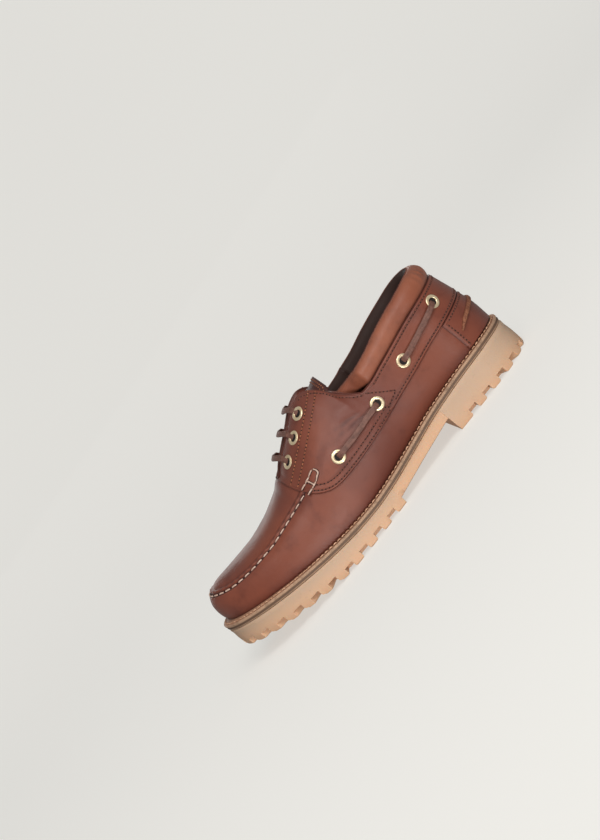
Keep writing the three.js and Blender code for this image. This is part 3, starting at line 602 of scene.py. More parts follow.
class Face:
    """The leather's face on a grid of sections, and points on it or standing off it."""

    def __init__(self, walks, ups):
        self.walks, self.ups = np.array(walks), np.array(ups)
        self.points, self.normals = {}, {}
        for side in (1, -1):
            grid = np.array([upper_column(walk, side, self.ups) for walk in self.walks])
            normal = np.cross(np.gradient(grid, axis=1), np.gradient(grid, axis=0)) * side
            ends = np.zeros(grid.shape[:2], bool)
            ends[0], ends[-1] = True, True
            ends[self.walks >= walk_at(THROAT), -1] = True
            normal[ends, 0] = 0
            normal /= np.maximum(np.linalg.norm(normal, axis=2, keepdims=True), 1e-9)
            self.points[side], self.normals[side] = grid, normal
        heel = self.walks <= 1
        self.heel_walks = self.walks[heel]
        row = np.argmin(abs(self.ups - 1))
        self.heel_s = LENGTH / 2 - self.points[1][heel, row, 1]

    def at(self, walk, up, side, out=0.0):
        """Points and outward directions for arrays of walk and up."""
        walk, up, out = np.broadcast_arrays(walk, up, out)
        i = np.clip(np.interp(walk, self.walks, np.arange(len(self.walks))), 0, len(self.walks) - 1.001)
        j = np.clip(np.interp(up, self.ups, np.arange(len(self.ups))), 0, len(self.ups) - 1.001)
        i0, j0 = i.astype(int), j.astype(int)
        u, v = (i - i0)[..., None], (j - j0)[..., None]
        blend = lambda g: (g[i0, j0] * (1 - u) * (1 - v) + g[i0 + 1, j0] * u * (1 - v)
                           + g[i0, j0 + 1] * (1 - u) * v + g[i0 + 1, j0 + 1] * u * v)
        normal = blend(self.normals[side])
        normal = normal / np.linalg.norm(normal, axis=-1, keepdims=True)
        return blend(self.points[side]) + normal * out[..., None], normal

    def walk_for(self, s):
        heel = np.interp(s, self.heel_s, self.heel_walks)
        return np.where(np.asarray(s) < HEEL, heel, walk_at(np.asarray(s)))

    def up_for(self, walk, side, z):
        """How far up the face a height lies, for arrays of walk and height."""
        walk, z = np.broadcast_arrays(np.asarray(walk, float), np.asarray(z, float))
        found = np.empty(walk.shape)
        for index in np.ndindex(walk.shape):
            i = np.interp(walk[index], self.walks, np.arange(len(self.walks)))
            i0 = min(int(i), len(self.walks) - 2)
            heights = mix(self.points[side][i0, :, 2], self.points[side][i0 + 1, :, 2], i - i0)
            found[index] = np.interp(z[index], np.maximum.accumulate(heights), self.ups)
        return found

    def path(self, side, s, z, out=0.0, steps=120):
        """A line on the face through corners given by s and height, as (points, normals)."""
        far = np.concatenate([[0], np.cumsum(np.hypot(np.diff(s), np.diff(z)))])
        spots = np.linspace(0, far[-1], steps)
        walk = self.walk_for(np.interp(spots, far, s))
        return self.at(walk, self.up_for(walk, side, np.interp(spots, far, z)), side, out)


side_stations = np.concatenate([np.arange(44, 98, 3.0), np.arange(98, 140, 1.2),
                                np.arange(140, THROAT, 1.6)])
face = Face(
    [*np.linspace(0, 1, 41), *walk_at(side_stations), walk_at(THROAT),
     *walk_at(np.arange(THROAT + 1.2, BALL, 1.2)), *np.linspace(2, 3, 150)],
    [*np.linspace(0, 0.9, 26), *np.linspace(0.91, 1.14, 26), *np.linspace(1.17, 1.9, 22),
     1.94, 1.98, 2.0],
)


def leather_material(name, mid=LEATHER_MID, deep=LEATHER_DEEP, warm=LEATHER_WARM, gloss=0.39, grain=1.0):
    """Waxed pull-up leather: cloudy oil tones and fine pores, darker at 'shade' (painted shade and darker cut
    edges), warmer at 'glow' (a painted highlight).
    """
    material, shader = start_material(name)
    where = Wire.node("ShaderNodeTexCoord", output=3)
    clouds = noise(16, 4, 0.5, where)
    smoke = noise(55, 5, 0.6, where)
    pores = Wire.node("ShaderNodeTexVoronoi", {"feature": "DISTANCE_TO_EDGE"},
                      {"Vector": where, "Scale": 1500})
    wrinkle = noise(420, 5, 0.62, where)
    colour = tint(clouds.between(0.36, 0.66), mid, warm)
    colour = tint(smoke.between(0.48, 0.78) * 0.45, colour, deep)
    colour = tint(attribute("shade"), colour, deep)
    colour = tint(attribute("glow"), colour, warm)
    rough = pores.between(0.0, 0.08) * 0.5 + wrinkle * 0.9 + noise(130, 3, 0.5, where) * 0.5
    dress(shader, colour, smoke * 0.16 + wrinkle * 0.08 + (gloss - 0.08), bump(rough, 0.22 * grain, 0.0004))
    fix(shader, Specular_IOR_Level=0.46, Sheen_Weight=0.05)
    return material


upper_leather = leather_material("upper_leather")
lining, shader = start_material("lining_leather")
mottle = noise(120, 4)
dress(shader, tint(mottle, (0.028, 0.011, 0.008), (0.050, 0.020, 0.014)), mottle * 0.2 + 0.65,
      bump(noise(1100, 4), 0.3, 0.0003))

SEAM_PITCH = 6.9
SEAM_BACK = 187.0  # s where the seam passes under the saddle
SEAM_PITS = 0.4  # depth of the furrow beside the seam


def bell(x, middle, spread):
    return np.exp(-((x - middle) / spread) ** 2)


def seam_travel(side):
    """Length of the hand-sewn seam at each section, from the middle of the toe back."""
    row = face.points[side][:, np.argmin(abs(face.ups - 1))]
    steps = np.linalg.norm(np.diff(row, axis=0), axis=1)
    far = np.concatenate([[0], np.cumsum(steps)])
    return far[-1] - far


shells = {}
for side in (1, -1):
    grid, normal = face.points[side], face.normals[side]
    middle = np.argmin(abs(face.ups - 1))
    from_seam = np.linalg.norm(grid - grid[:, middle:middle + 1], axis=2) * np.sign(face.ups - 1)
    s = BALL + np.where(face.walks > 2, 200, (face.walks - 2) * (BALL - HEEL))
    sewn = np.clip((s - SEAM_BACK + 14) / 14, 0, 1)[:, None]
    wave = np.cos(2 * np.pi * seam_travel(side) / SEAM_PITCH)[:, None]
    ridge = (1.15 + 0.22 * wave) * bell(from_seam, 2.9, 1.35) - SEAM_PITS * bell(from_seam, 0.9, 0.9)
    roll = (0.35 - 0.08 * wave) * bell(from_seam, -1.5, 1.5) - 0.35 * bell(from_seam, 5.4, 1.2)
    out = sewn * (ridge + roll)
    shells[side] = grid + normal * out[..., None]
    # painted shade: in the furrow beside the seam, in the dip behind its ridge, between the puckers, and
    # darkening the wall towards the welt
    shade = sewn * (0.9 * bell(from_seam, 0.9, 0.8) + (0.4 - 0.25 * wave) * bell(from_seam, 4.4, 1.6)
                    + 0.45 * np.maximum(wave, 0) * bell(from_seam, 0.2, 0.8))
    low = np.clip(1 - (grid[..., 2] - welt_top(LENGTH / 2 - grid[..., 1])) / 9, 0, 1)
    shells[side, "shade"] = np.clip(shade + 0.75 * low ** 1.5, 0, 1)
    # a painted highlight on the crest of each pucker beside the seam
    shells[side, "glow"] = sewn * (0.55 + 0.45 * wave) * bell(from_seam, 3.4, 1.1)

rows, cols = len(face.walks), len(face.ups)
points, faces, shade, glow, inner_faces = [], [], [], [], []
index = np.arange(rows * cols).reshape(rows, cols)
open_rows = int(np.sum(face.walks <= walk_at(THROAT) + 1e-9))
for k, side in enumerate((1, -1)):
    base = 2 * k * rows * cols
    inside = face.points[side] - face.normals[side] * WALL
    for grid in (shells[side], inside):
        fixed = grid.copy()
        centre = lean(LENGTH / 2 - fixed[..., 1])
        for cells in ((slice(0, 1), slice(None)), (slice(-1, None), slice(None)),
                      (slice(open_rows - 1, None), slice(-1, None))):
            fixed[cells][..., 0] = centre[cells]
        points.append(fixed.reshape(-1, 3))
    shade += [shells[side, "shade"].ravel(), np.zeros(rows * cols)]
    glow += [shells[side, "glow"].ravel(), np.zeros(rows * cols)]
    faces += grid_faces(rows, cols, base, flip=side < 0)
    inner_faces += grid_faces(rows, cols, base + rows * cols, flip=side > 0)
    for edge, turned in ((index[:, 0], side > 0), (index[:open_rows, -1], side < 0)):
        for a, b in zip(edge[:-1] + base, edge[1:] + base):
            quad = [int(a), int(b), int(b + rows * cols), int(a + rows * cols)]
            faces.append(quad[::-1] if turned else quad)
upper = new_piece("upper_shell", np.concatenate(points), faces + inner_faces, [upper_leather, lining], 60)
kinds = np.zeros(len(upper.data.polygons), np.int32)
kinds[len(faces):] = 1
upper.data.polygons.foreach_set("material_index", kinds)
mark(upper, "shade", np.concatenate(shade))
mark(upper, "glow", np.concatenate(glow))
bpy.ops.object.mode_set(mode="EDIT")
bpy.ops.mesh.select_all(action="SELECT")
bpy.ops.mesh.remove_doubles(threshold=0.00002)
bpy.ops.object.mode_set(mode="OBJECT")
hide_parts("upper")
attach(upper, "root")

# the hand-sewn seam's thread: long pale dashes from the saddle round the toe to the other saddle, each over a
# longer, wider dark bead that is painted shade in the seam's furrow
walks = np.linspace(walk_at(SEAM_BACK), 3, 300)
for name, out, size, thread in (("toe_seam_stitches", 0.85, (4.9, 1.35, 1.0), pale_thread),
                                ("toe_seam_holes", 0.35, (6.5, 2.1, 0.9), hole_shade_thread)):
    ups = 1 - 0.035 * np.clip((2.0 - walks) / 0.08, 0, 1)
    halves = [face.at(walks, ups, side, out) for side in (1, -1)]
    seam_row = tuple(np.concatenate([halves[0][k], halves[1][k][-2::-1]]) for k in (0, 1))
    sew(name, [seam_row], SEAM_PITCH, size, thread, sink=0.3)

# ------------------------------------------------------------------ heel counter
# A thin leather cover round the heel below the band, its front edges sewn down, with a crescent
# of thicker hide across its middle whose cut edge is left raw.
LEATHER, COVER = 1.6, 1.2  # thickness of the panels, and of the thinner cover round the heel
COUNTER_FRONT = 34.5
CUT_STEPS = np.array([0, 0.12, 0.35, 0.7, 1.2, 1.8])  # places in from a cut edge
BAND_EDGE = columns("s low", [
    (-9, 63), (18, 60.2), (35, 58.1), (50, 56.0), (68, 53.4), (84, 51.4), (98.5, 49.3),
])
CRESCENT = columns("s low high", [
    (-9, 50.9, 54.1), (4, 50.2, 53.4), (12, 48.8, 51.9), (20, 46.6, 49.7), (28, 43.9, 45.2),
])


def rounded(inwards, radius=1.1):
    """Share of a piece's thickness at a distance in from its cut edge."""
    t = np.clip(inwards / radius, 0, 1)
    return 0.22 + 0.78 * np.sqrt(1 - (1 - t) ** 2)


def across(width, count):
    """Shares of a width, close together at both edges."""
    near = np.minimum(CUT_STEPS / width, 0.25 * CUT_STEPS / CUT_STEPS[-1])
    middle = np.linspace(near[-1], 1 - near[-1], count)[1:-1]
    return np.concatenate([near, middle, 1 - near[::-1]])


def crease_depth(s, z, creases):
    """Soft troughs, or ridges where deep is negative, along lines given by their two ends."""
    total = np.zeros_like(s)
    for s0, z0, s1, z1, deep, wide in creases:
        run = np.array([s1 - s0, z1 - z0])
        t = ((s - s0) * run[0] + (z - z0) * run[1]) / (run @ run)
        aside = ((s - s0) * run[1] - (z - z0) * run[0]) / np.hypot(*run)
        total += deep * np.exp(-(aside / wide) ** 2) * np.clip(1 - (2 * t - 1) ** 2, 0, 1) ** 0.7
    return total


def overlay(name, spots, low, high, stand, thick, material, count=26, rows=(), creases=(), joined=""):
    """Leather laid over the face: spots are (walk, side); low and high give up for each of them.
    rows are distances in from the lower and upper edges where stitching pulls it down; joined
    names the end sections, first and last, that are left square where they meet another piece."""
    widths, shares, bases, ways = [], [], [], []
    for (walk, side), up_low, up_high in zip(spots, low, high):
        line, _ = face.at(np.full(17, walk), np.linspace(up_low, up_high, 17), side)
        width = max(np.linalg.norm(np.diff(line, axis=0), axis=1).sum(), 0.5)
        share = across(width, count)
        base, way = face.at(np.full(len(share), walk), mix(up_low, up_high, share), side)
        widths.append(width)
        shares.append(share)
        bases.append(base)
        ways.append(way)
    bases, ways, shares = np.array(bases), np.array(ways), np.array(shares)
    widths = np.array(widths)[:, None]
    middle = bases[:, bases.shape[1] // 2]
    far = np.concatenate([[0], np.cumsum(np.linalg.norm(np.diff(middle, axis=0), axis=1))])
    from_low, from_high = shares * widths, (1 - shares) * widths
    inwards = np.minimum(from_low, from_high)
    for end, distance in (("first", far), ("last", far[-1] - far)):
        if end not in joined:
            inwards = np.minimum(inwards, distance[:, None])
    pull = np.zeros_like(from_low)
    for edge, distance in rows:
        pull += bell(from_low if edge == "low" else from_high, distance, 0.65)
    dent = crease_depth(LENGTH / 2 - bases[..., 1], bases[..., 2], creases)
    out = stand + thick * rounded(inwards) - 0.3 * pull - dent
    outer = bases + ways * out[..., None]
    inner = bases + ways * stand
    # darker along the cut edges, their own burnished colour, and painted shade where the stitching pulls the
    # leather down and in the creases; the underside is all painted shade
    edges = 1 - np.clip(inwards / 0.7, 0, 1)
    shade = np.clip(0.75 * edges + 0.35 * pull + 0.9 * np.maximum(dent, 0), 0, 1)
    piece = new_piece(name, np.concatenate([outer.reshape(-1, 3), inner.reshape(-1, 3)]),
                      plate_faces(*outer.shape[:2]), material, 60)
    mark(piece, "shade", np.concatenate([shade.ravel(), np.ones(shade.size)]))
    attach(piece, "root")
    return piece


def s_at(walk):
    walk = np.asarray(walk)
    return np.where(walk < 1, np.interp(walk, face.heel_walks, face.heel_s), mix(HEEL, BALL, walk - 1))


def both_ways(walks):
    """Sections in along the medial side, round the back of the heel and out along the lateral."""
    return [*[(w, -1) for w in walks[::-1]], (0.0, 1), *[(w, 1) for w in walks]]


def round_heel(front):
    """Sections from front on the medial side to front on the lateral, and s at each of them."""
    if front > HEEL + 2:
        walks = np.concatenate([np.linspace(0, 1, 36)[1:], walk_at(np.arange(HEEL + 1.6, front - 1.8, 1.6)),
                                walk_at(front - CUT_STEPS[::-1])])
    else:
        walks = np.linspace(0, float(face.walk_for(front)), 34)[1:]
    spots = both_ways(walks)
    return spots, s_at(np.array([walk for walk, _ in spots]))


def ups_at(spots, heights):
    return np.array([face.up_for(w, side, z) for (w, side), z in zip(spots, heights)])


def heel_row(spots, ups, out):
    parts = [face.at(np.array([w]), np.array([u]), side, out) for (w, side), u in zip(spots, ups)]
    return np.concatenate([p[0] for p in parts]), np.concatenate([p[1] for p in parts])


counter_leather = leather_material("counter_leather", gloss=0.4)
spots, s = round_heel(COUNTER_FRONT)
counter = overlay("counter_cover", spots, np.full(len(spots), 0.04),
                  ups_at(spots, along(BAND_EDGE, "low", s) - 0.5), GAP, COVER, counter_leather, 24)
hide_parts("counter")

raw_leather, shader = start_material("raw_edge_leather")
fibre = noise(600, 4, 0.6)
dress(shader, tint(fibre.between(0.3, 0.7), (0.17, 0.052, 0.026), (0.36, 0.14, 0.07)), fibre * 0.2 + 0.6,
      bump(fibre, 0.5, 0.0004))
spots, s = round_heel(28.0)
low, high = (ups_at(spots, along(CRESCENT, edge, s)) for edge in ("low", "high"))
tab = overlay("heel_crescent", spots, low, high, GAP + COVER + 0.1, 1.7, raw_leather, 8)
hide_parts("heel_tab")
hem_thread = thread_material("hem_thread", (0.27, 0.095, 0.06), (0.13, 0.04, 0.025))
FINE, HOLE_SHADE = (1.9, 0.95, 0.7), (1.1, 1.1, 0.7)  # length, width and height of a fine stitch and its hole
FINE_PITCH = 2.7


def sewn_rows(name, rows, thread, margin=0.0):
    """Fine stitching, with a dark bead between one stitch and the next: painted shade in the needle hole."""
    sew(name, rows, FINE_PITCH, FINE, thread, 0.5, margin)
    sew(name + "_holes", rows, FINE_PITCH, HOLE_SHADE, hole_shade_thread, 1.0, margin, 0.42)


rows = [face.path(side, [COUNTER_FRONT - 3.2] * 2, [33.0, 56.5], GAP + COVER + 0.05, 40)
        for side in (1, -1)]
spots, s = round_heel(30.0)
rows.append(heel_row(spots, ups_at(spots, along(BAND_EDGE, "low", s) - 2.4), GAP + COVER + 0.05))
sewn_rows("counter_stitches", rows, hem_thread)

# ------------------------------------------------------------------ quarter band
# One long strip of the same leather round the back under the collar, from saddle to saddle, sewn
# down along both edges; it carries the two rear side eyelets of each side.
SADDLE_BACK = 98.5
spots, s = round_heel(SADDLE_BACK - 0.02)
foot = along(BAND_EDGE, "low", s)
band = overlay("quarter_band_leather", spots, ups_at(spots, foot), np.full(len(spots), 1.99), GAP, LEATHER,
               upper_leather, rows=(("low", 2.2), ("high", 2.6)), joined="first last")
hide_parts("quarter_band")
tops = np.array([face.at(np.array([w]), np.array([2.0]), side)[0][0, 2] for w, side in spots])
rows = [heel_row(spots, ups_at(spots, z), GAP + LEATHER - 0.15) for z in (foot + 2.3, tops - 2.7)]
sewn_rows("band_stitches", rows, hem_thread, 1.5)

# ------------------------------------------------------------------ saddles
# One on each side: the eyelet facing and side panel in one piece of leather, double sewn along its
# foot, with two rows down from the collar beside the eyelets. The toe seam ends on it in a ladder.
SADDLE_EDGE = columns("s low", [
    (98.5, 49.3), (112, 47.6), (122, 46.6), (132, 45.8), (142, 45.2), (152, 44.9), (160, 45.0),
    (166, 45.6), (171, 46.8), (175, 48.7), (179, 51.6), (182, 54.6), (185, 58.6), (187.6, 63.0),
    (189.8, 69.0), (191.6, 77.5),
])
FACING_EDGE = 14.8  # x of its edge beside the throat
tan_thread = thread_material("facing_thread", (0.52, 0.19, 0.09), (0.28, 0.09, 0.045))
stations = np.concatenate([SADDLE_BACK + 0.02 + CUT_STEPS, np.arange(101.0, 190, 1.25),
                           191.8 - CUT_STEPS[::-1]])
# where the foot flexes the leather creases above the front side lace, under a soft swelling: each
# goes from s and height to s and height, with its depth and its width
FLEX_CREASES = [(118, 66.0, 141, 71.2, 0.8, 1.1), (117, 62.0, 143, 67.0, 0.9, 1.2),
                (122, 64.5, 138, 68.6, -0.4, 1.2), (114, 73.5, 134, 78.0, -0.9, 4.5),
                (150, 72, 172, 62, 0.25, 2.2), (146, 80, 158, 72, -0.3, 4)]
facing_rows, foot_rows, hem_rows, ladder, rungs, loops = [], [], [], [], [], []
ON_SADDLE = GAP + LEATHER + 0.02
for name, side in (("lateral", 1), ("medial", -1)):
    spots = [(w, side) for w in walk_at(stations)]
    low = ups_at(spots, along(SADDLE_EDGE, "low", stations))
    high = []
    for (w, _), s_here in zip(spots, stations):
        ups = np.linspace(1.2, 1.985, 60)
        xs = abs(face.at(np.full(60, w), ups, side)[0][:, 0])
        high.append(np.interp(-FACING_EDGE, -xs, ups) if s_here > 130 and xs[-1] < FACING_EDGE else 1.985)
    high = np.maximum(np.array(high), low + 0.02)
    if side < 0:
        spots, low, high = spots[::-1], low[::-1], high[::-1]
    saddle = overlay(f"saddle_{name}_leather", spots, low, high, GAP, LEATHER, upper_leather, 44,
                     rows=(("low", 2.2), ("low", 6.0), ("high", 2.2)), creases=FLEX_CREASES,
                     joined="first" if side > 0 else "last")
    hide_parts(f"saddle_{name}")
    # beside the eyelets two rows run down from the throat's back corner to the front edge
    for ahead, behind in (((188.0, 68.4), (127.0, 100.4)), ((186.0, 64.4), (123.2, 97.2))):
        facing_rows.append(face.path(side, [ahead[0], behind[0]], [ahead[1], behind[1]], ON_SADDLE + 0.15))
    inner = np.arange(101.0, 184.5, 1.5)
    for rise in (2.0, 5.8):
        low_z = along(SADDLE_EDGE, "low", inner) + rise
        inward = np.interp(inner, [102, 160, 176, 185], [0, 0, 0.8, 1.5]) * rise / 2
        foot_rows.append(face.path(side, inner - inward, low_z, ON_SADDLE - 0.12))
    rim_s = np.array([104.5, 107.5, 111.5, 116.5, 121.0, 125.5, 129.0, 133.0, 138.0])
    rim_z = along(EDGE, "height", rim_s) - np.array([2.2, 3.0, 3.4, 3.6, 3.4, 3.0, 2.6, 2.2, 2.0])
    hem_rows.append(face.path(side, rim_s + 0.6, rim_z, ON_SADDLE - 0.1))
    hem_rows.append(face.path(side, [104.6, 98.0, 89.8, 97.0, 103.5], [72.0, 64.6, 56.2, 53.9, 52.4],
                              ON_SADDLE - 0.05))
    # the ladder: two rails joined by a rung and by a rounded loop at their back end
    rail_s, rail_z = np.array([185.6, 179.6, 174.1, 170.1]), np.array([59.2, 60.4, 61.9, 63.7])
    for offset in (-2.5, 2.5):
        line = rail_z + offset * np.array([0.95, 1, 1, 0.9])
        ladder.append(face.path(side, rail_s, line, ON_SADDLE + 0.35, 60))
    rungs.append(face.path(side, [176.9, 177.9], [58.1, 64.4], ON_SADDLE + 0.35, 12))
    turn = np.linspace(-math.pi / 2, math.pi / 2, 9)
    loop_s, loop_z = 170.1 - 1.9 * np.cos(turn), 63.7 + 2.25 * np.sin(turn)
    loops.append(face.path(side, loop_s, loop_z, ON_SADDLE + 0.35, 24))
sewn_rows("facing_stitches", facing_rows, tan_thread)
sewn_rows("saddle_foot_stitches", foot_rows, hem_thread)
sewn_rows("saddle_hem_stitches", hem_rows, hem_thread)
# each pale thread lies on a wider, sunk dark bead: a painted shadow round it
for name, size, thread, sink in (("ladder_threads", (1.2, 0.9), pale_thread, 0.2),
                                 ("ladder_holes", (2.2, 0.7), hole_shade_thread, 0.75)):
    for part, lines, pitch, long in (("rails", ladder, 5.7, 5.5), ("rungs", rungs, 4.6, 4.6),
                                     ("loops", loops, 2.1, 2.5)):
        sew(f"{name}_{part}", lines, pitch, (long, *size), thread, sink=sink)

# ------------------------------------------------------------------ tongue
# A soft tab of the same hide under the facings, from in front of the throat to above the collar,
# with a raw end sewn round twice.
TONGUE_END, TONGUE_HALF = 116, 28
TONGUE = columns("s half", [
    (TONGUE_END, 21), (117.5, 26.5), (122, TONGUE_HALF), (176, TONGUE_HALF), (187, 26), (197, 24),
])
TONGUE_THICK, TONGUE_GAP = 2.0, 1.3
TONGUE_FREE, TONGUE_RISE = 131.0, 4.5  # behind this s it rises free of the facings
ARCH_BACK = 125.0  # behind this s the arch keeps its height


def arch_height(s, x):
    """Height of the whole arch over the foot, as if the throat were closed."""
    at = max(s, ARCH_BACK)
    walk, side = walk_at(min(at, BALL)), -1 if x < 0 else 1
    shoulder = reach(walk, side, SIDE, "shoulder", "shoulder", 1)
    seam_z, power = float(along(SIDE, "height", at)), float(along(EDGE, "power", at))
    opened = (reach(walk, side, EDGE, "half", "edge", 1) / shoulder) ** power
    crest = seam_z + (float(along(EDGE, "height", at)) - seam_z) / (1 - opened)
    return crest - (crest - seam_z) * min(1, abs(x) / shoulder) ** power


def tongue_point(s, part, depth):
    x = float(along(TONGUE, "half", s, True)) * part
    slope = arch_height(s, x + 0.5) - arch_height(s, x - 0.5)
    free = max(0, TONGUE_FREE - s) / (TONGUE_FREE - TONGUE["s"][0])
    lift = TONGUE_RISE * free ** 1.4 * (1 - abs(part) ** 1.3)
    return leaning(place(x, s, arch_height(s, x) + lift - depth * math.hypot(1, slope)))


tongue_s = np.concatenate([TONGUE_END + CUT_STEPS, np.arange(118.5, 197, 1.4), [197.0]])
tongue_parts = np.concatenate([np.linspace(1, 0.93, 6), np.linspace(0.9, -0.9, 41),
                               np.linspace(-0.93, -1, 6)])
inwards = np.minimum((tongue_s - TONGUE_END)[:, None], TONGUE_HALF * (1 - abs(tongue_parts))[None, :])
skins, thin = [], rounded(inwards, 0.9)
for k, depth in enumerate((WALL + TONGUE_GAP, WALL + TONGUE_GAP + TONGUE_THICK)):
    skins.append(np.array([[tongue_point(s, part, depth + (1 - thin[i, j]) * (0.8 if k == 0 else 0))
                            for j, part in enumerate(tongue_parts)] for i, s in enumerate(tongue_s)]))
# its colour is set much darker than the upper's leather
tongue_leather = leather_material("tongue_leather", (0.075, 0.018, 0.013), warm=(0.11, 0.026, 0.017),
                                  gloss=0.45, grain=1.4)
tongue = new_piece("tongue_leather", np.concatenate([g.reshape(-1, 3) for g in skins]),
                   plate_faces(*skins[0].shape[:2]), tongue_leather, 60)
edge_shade = np.clip(1.2 - inwards, 0, 0.8)
mark(tongue, "shade", np.concatenate([edge_shade.ravel(), np.ones(edge_shade.size) * 0.6]))
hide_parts("tongue")
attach(tongue, "root")


def tongue_row(inset):
    """A line round the tongue's end, in from its edge."""
    at = np.linspace(150, 119 + inset * 0.6, 30)
    halves = along(TONGUE, "half", at, True)
    sides = list(zip(at, (halves - inset) / halves))
    end = [(TONGUE_END + inset, part) for part in np.linspace(sides[-1][1] - 0.07, -sides[-1][1] + 0.07, 40)]
    spots = [*sides, *end, *[(s, -part) for s, part in sides[::-1]]]
    points = np.array([tongue_point(s, part, WALL + TONGUE_GAP - 0.05) for s, part in spots])
    normals = points - np.array([tongue_point(s, part, WALL + TONGUE_GAP + 1) for s, part in spots])
    return points, normals / np.linalg.norm(normals, axis=1, keepdims=True)


sewn_rows("tongue_stitches", [tongue_row(2.2), tongue_row(4.4)], tan_thread)

# ------------------------------------------------------------------ collar
# A roll of soft, lighter leather over foam round the mouth, folded over its top and sewn in at the
# band's upper edge and again inside; it is gathered in small pleats round the heel.
RIM = columns("s height", [
    (0, 100.5), (14, 100.3), (42, 97.2), (63, 93.8), (88, 88.6), (114, 86.2), (124, 85.9),
])
MOUTH_BACK = 98  # in front of this s the roll leaves the band and follows the mouth
MOUTH = columns("s half foot", [
    (MOUTH_BACK, 43.6, 75.3), (104, 41.4, 75.8), (110, 38.8, 77.2), (118, 35.2, 79.6),
])
# the roll's section: millimetres in from its seam, and share of its height
ROLL_SECTION = [(-0.7, -0.06), (-1.9, 0.12), (-2.3, 0.36), (-1.7, 0.62), (0.4, 0.86), (3.5, 0.985),
                (6.6, 0.94), (8.8, 0.72), (9.4, 0.4), (9.2, 0.05), (8.2, -0.45), (6.2, -0.52),
                (4.5, -0.45), (3.4, -0.12), (1.2, -0.1)]
COLLAR_LIGHT, COLLAR_DEEP, COLLAR_WARM = (0.290, 0.083, 0.042), (0.11, 0.028, 0.016), (0.36, 0.115, 0.060)


def closed_curve(corners, steps):
    """A smooth closed curve through corners, as a Catmull-Rom spline."""
    ring = np.array(corners)
    before, after, beyond = (np.roll(ring, k, 0) for k in (1, -1, -2))
    spots = []
    for t in np.linspace(0, 1, steps, endpoint=False):
        bend = 2 * before - 5 * ring + 4 * after - beyond
        twist = 3 * ring - before - 3 * after + beyond
        spots.append(0.5 * (2 * ring + (after - before) * t + bend * t ** 2 + twist * t ** 3))
    return np.stack(spots, 1).reshape(-1, 2)


section = closed_curve(ROLL_SECTION, 5)
rings = []
for w, side in both_ways(np.concatenate([np.linspace(0, 1, 76)[1:], walk_at(np.arange(44, 121, 1.6))])):
    s = float(s_at(w))
    if s > MOUTH_BACK:
        seam = place(side * along(MOUTH, "half", s), s, along(MOUTH, "foot", s))
        outward = np.array([side * 0.94, -0.34 * min(1, (s - MOUTH_BACK) / 8), 0])
    else:
        seam, outward = (g[0] for g in face.at(np.array([w]), np.array([2.0]), side))
        seam = seam.copy()
        seam[1] += LAST_LEAN * (seam[2] - LEAN_FROM)
        seam[2] += 1.5
        outward = outward * (1, 1, 0)
    outward = outward / np.linalg.norm(outward)
    high = float(along(RIM, "height", LENGTH / 2 - seam[1])) - seam[2]
    # in front the roll narrows and tucks in behind the saddle
    tuck = float(np.clip((s - 96) / 9, 0, 1))
    thin = 1 - 0.25 * tuck
    heel = math.exp(-((s - 4) / 16) ** 2)
    ripple = 0.35 * heel * math.cos(w * 62)
    ring = []
    for inset, rise in section:
        inset = inset * thin + 3.4 * tuck
        swell = -ripple * (1 if inset < 4 else 0.3) * max(0, math.sin(min(max(rise, 0), 1) * math.pi))
        p = seam - outward * (inset + swell)
        p[2] = seam[2] + rise * high
        ring.append(p)
    rings.append(ring)
rings = leaning(np.array(rings))
count = len(section)
points = np.concatenate([rings.reshape(-1, 3), rings[0].mean(0)[None], rings[-1].mean(0)[None]])
faces = grid_faces(len(rings), count, wrap=True)
total = len(rings) * count
for i in range(count):
    j = (i + 1) % count
    faces.append([total, j, i])
    faces.append([total + 1, total - count + i, total - count + j])
collar_leather = leather_material("collar_leather", COLLAR_LIGHT, COLLAR_DEEP, COLLAR_WARM, 0.38, 1.3)
collar = new_piece("collar_roll", points, faces, [collar_leather, lining], 80)
# over its crest the roll is bound to the dark lining
lined = np.array([inset > 4.4 for inset, _ in section])
kinds = np.concatenate([np.tile(lined, len(rings) - 1), np.ones(2 * count, bool)]).astype(np.int32)
collar.data.polygons.foreach_set("material_index", kinds)
# painted shade along the roll's lower edge, where it meets the band
low_edge = np.array([bell(rise, -0.05, 0.09) * (inset < 1) for inset, rise in section])
mark(collar, "shade", np.concatenate([np.tile(low_edge * 0.45, len(rings)), [1, 1]]))
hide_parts("collar")
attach(collar, "root")
# a fine piping where the leather and the lining meet
crest = np.argmax(lined)
row = rings[:, crest]
ways = row - rings.mean(1)
ways /= np.linalg.norm(ways, axis=1, keepdims=True)
sew("collar_piping", [(row, ways)], 1.2, (1.7, 0.9, 0.9), hem_thread, sink=0.3)

# ------------------------------------------------------------------ eyelets
# Rolled brass rings pressed through the leather: three up each facing for the lace, and four low
# on each side for the lace that runs round the heel inside the band.
EYELET_RADIUS, EYELET_ROLL = 4.1, 1.25
brass, shader = start_material("brass")
tarnish = noise(260, 3)
Wire.feed(shader.inputs["Base Color"], tint(tarnish.between(0.4, 0.8), (1.0, 0.83, 0.56), (0.88, 0.66, 0.38)))
Wire.feed(shader.inputs["Metallic"], 0.72 - tarnish * 0.05)
Wire.feed(shader.inputs["Roughness"], tarnish * 0.12 + 0.30)
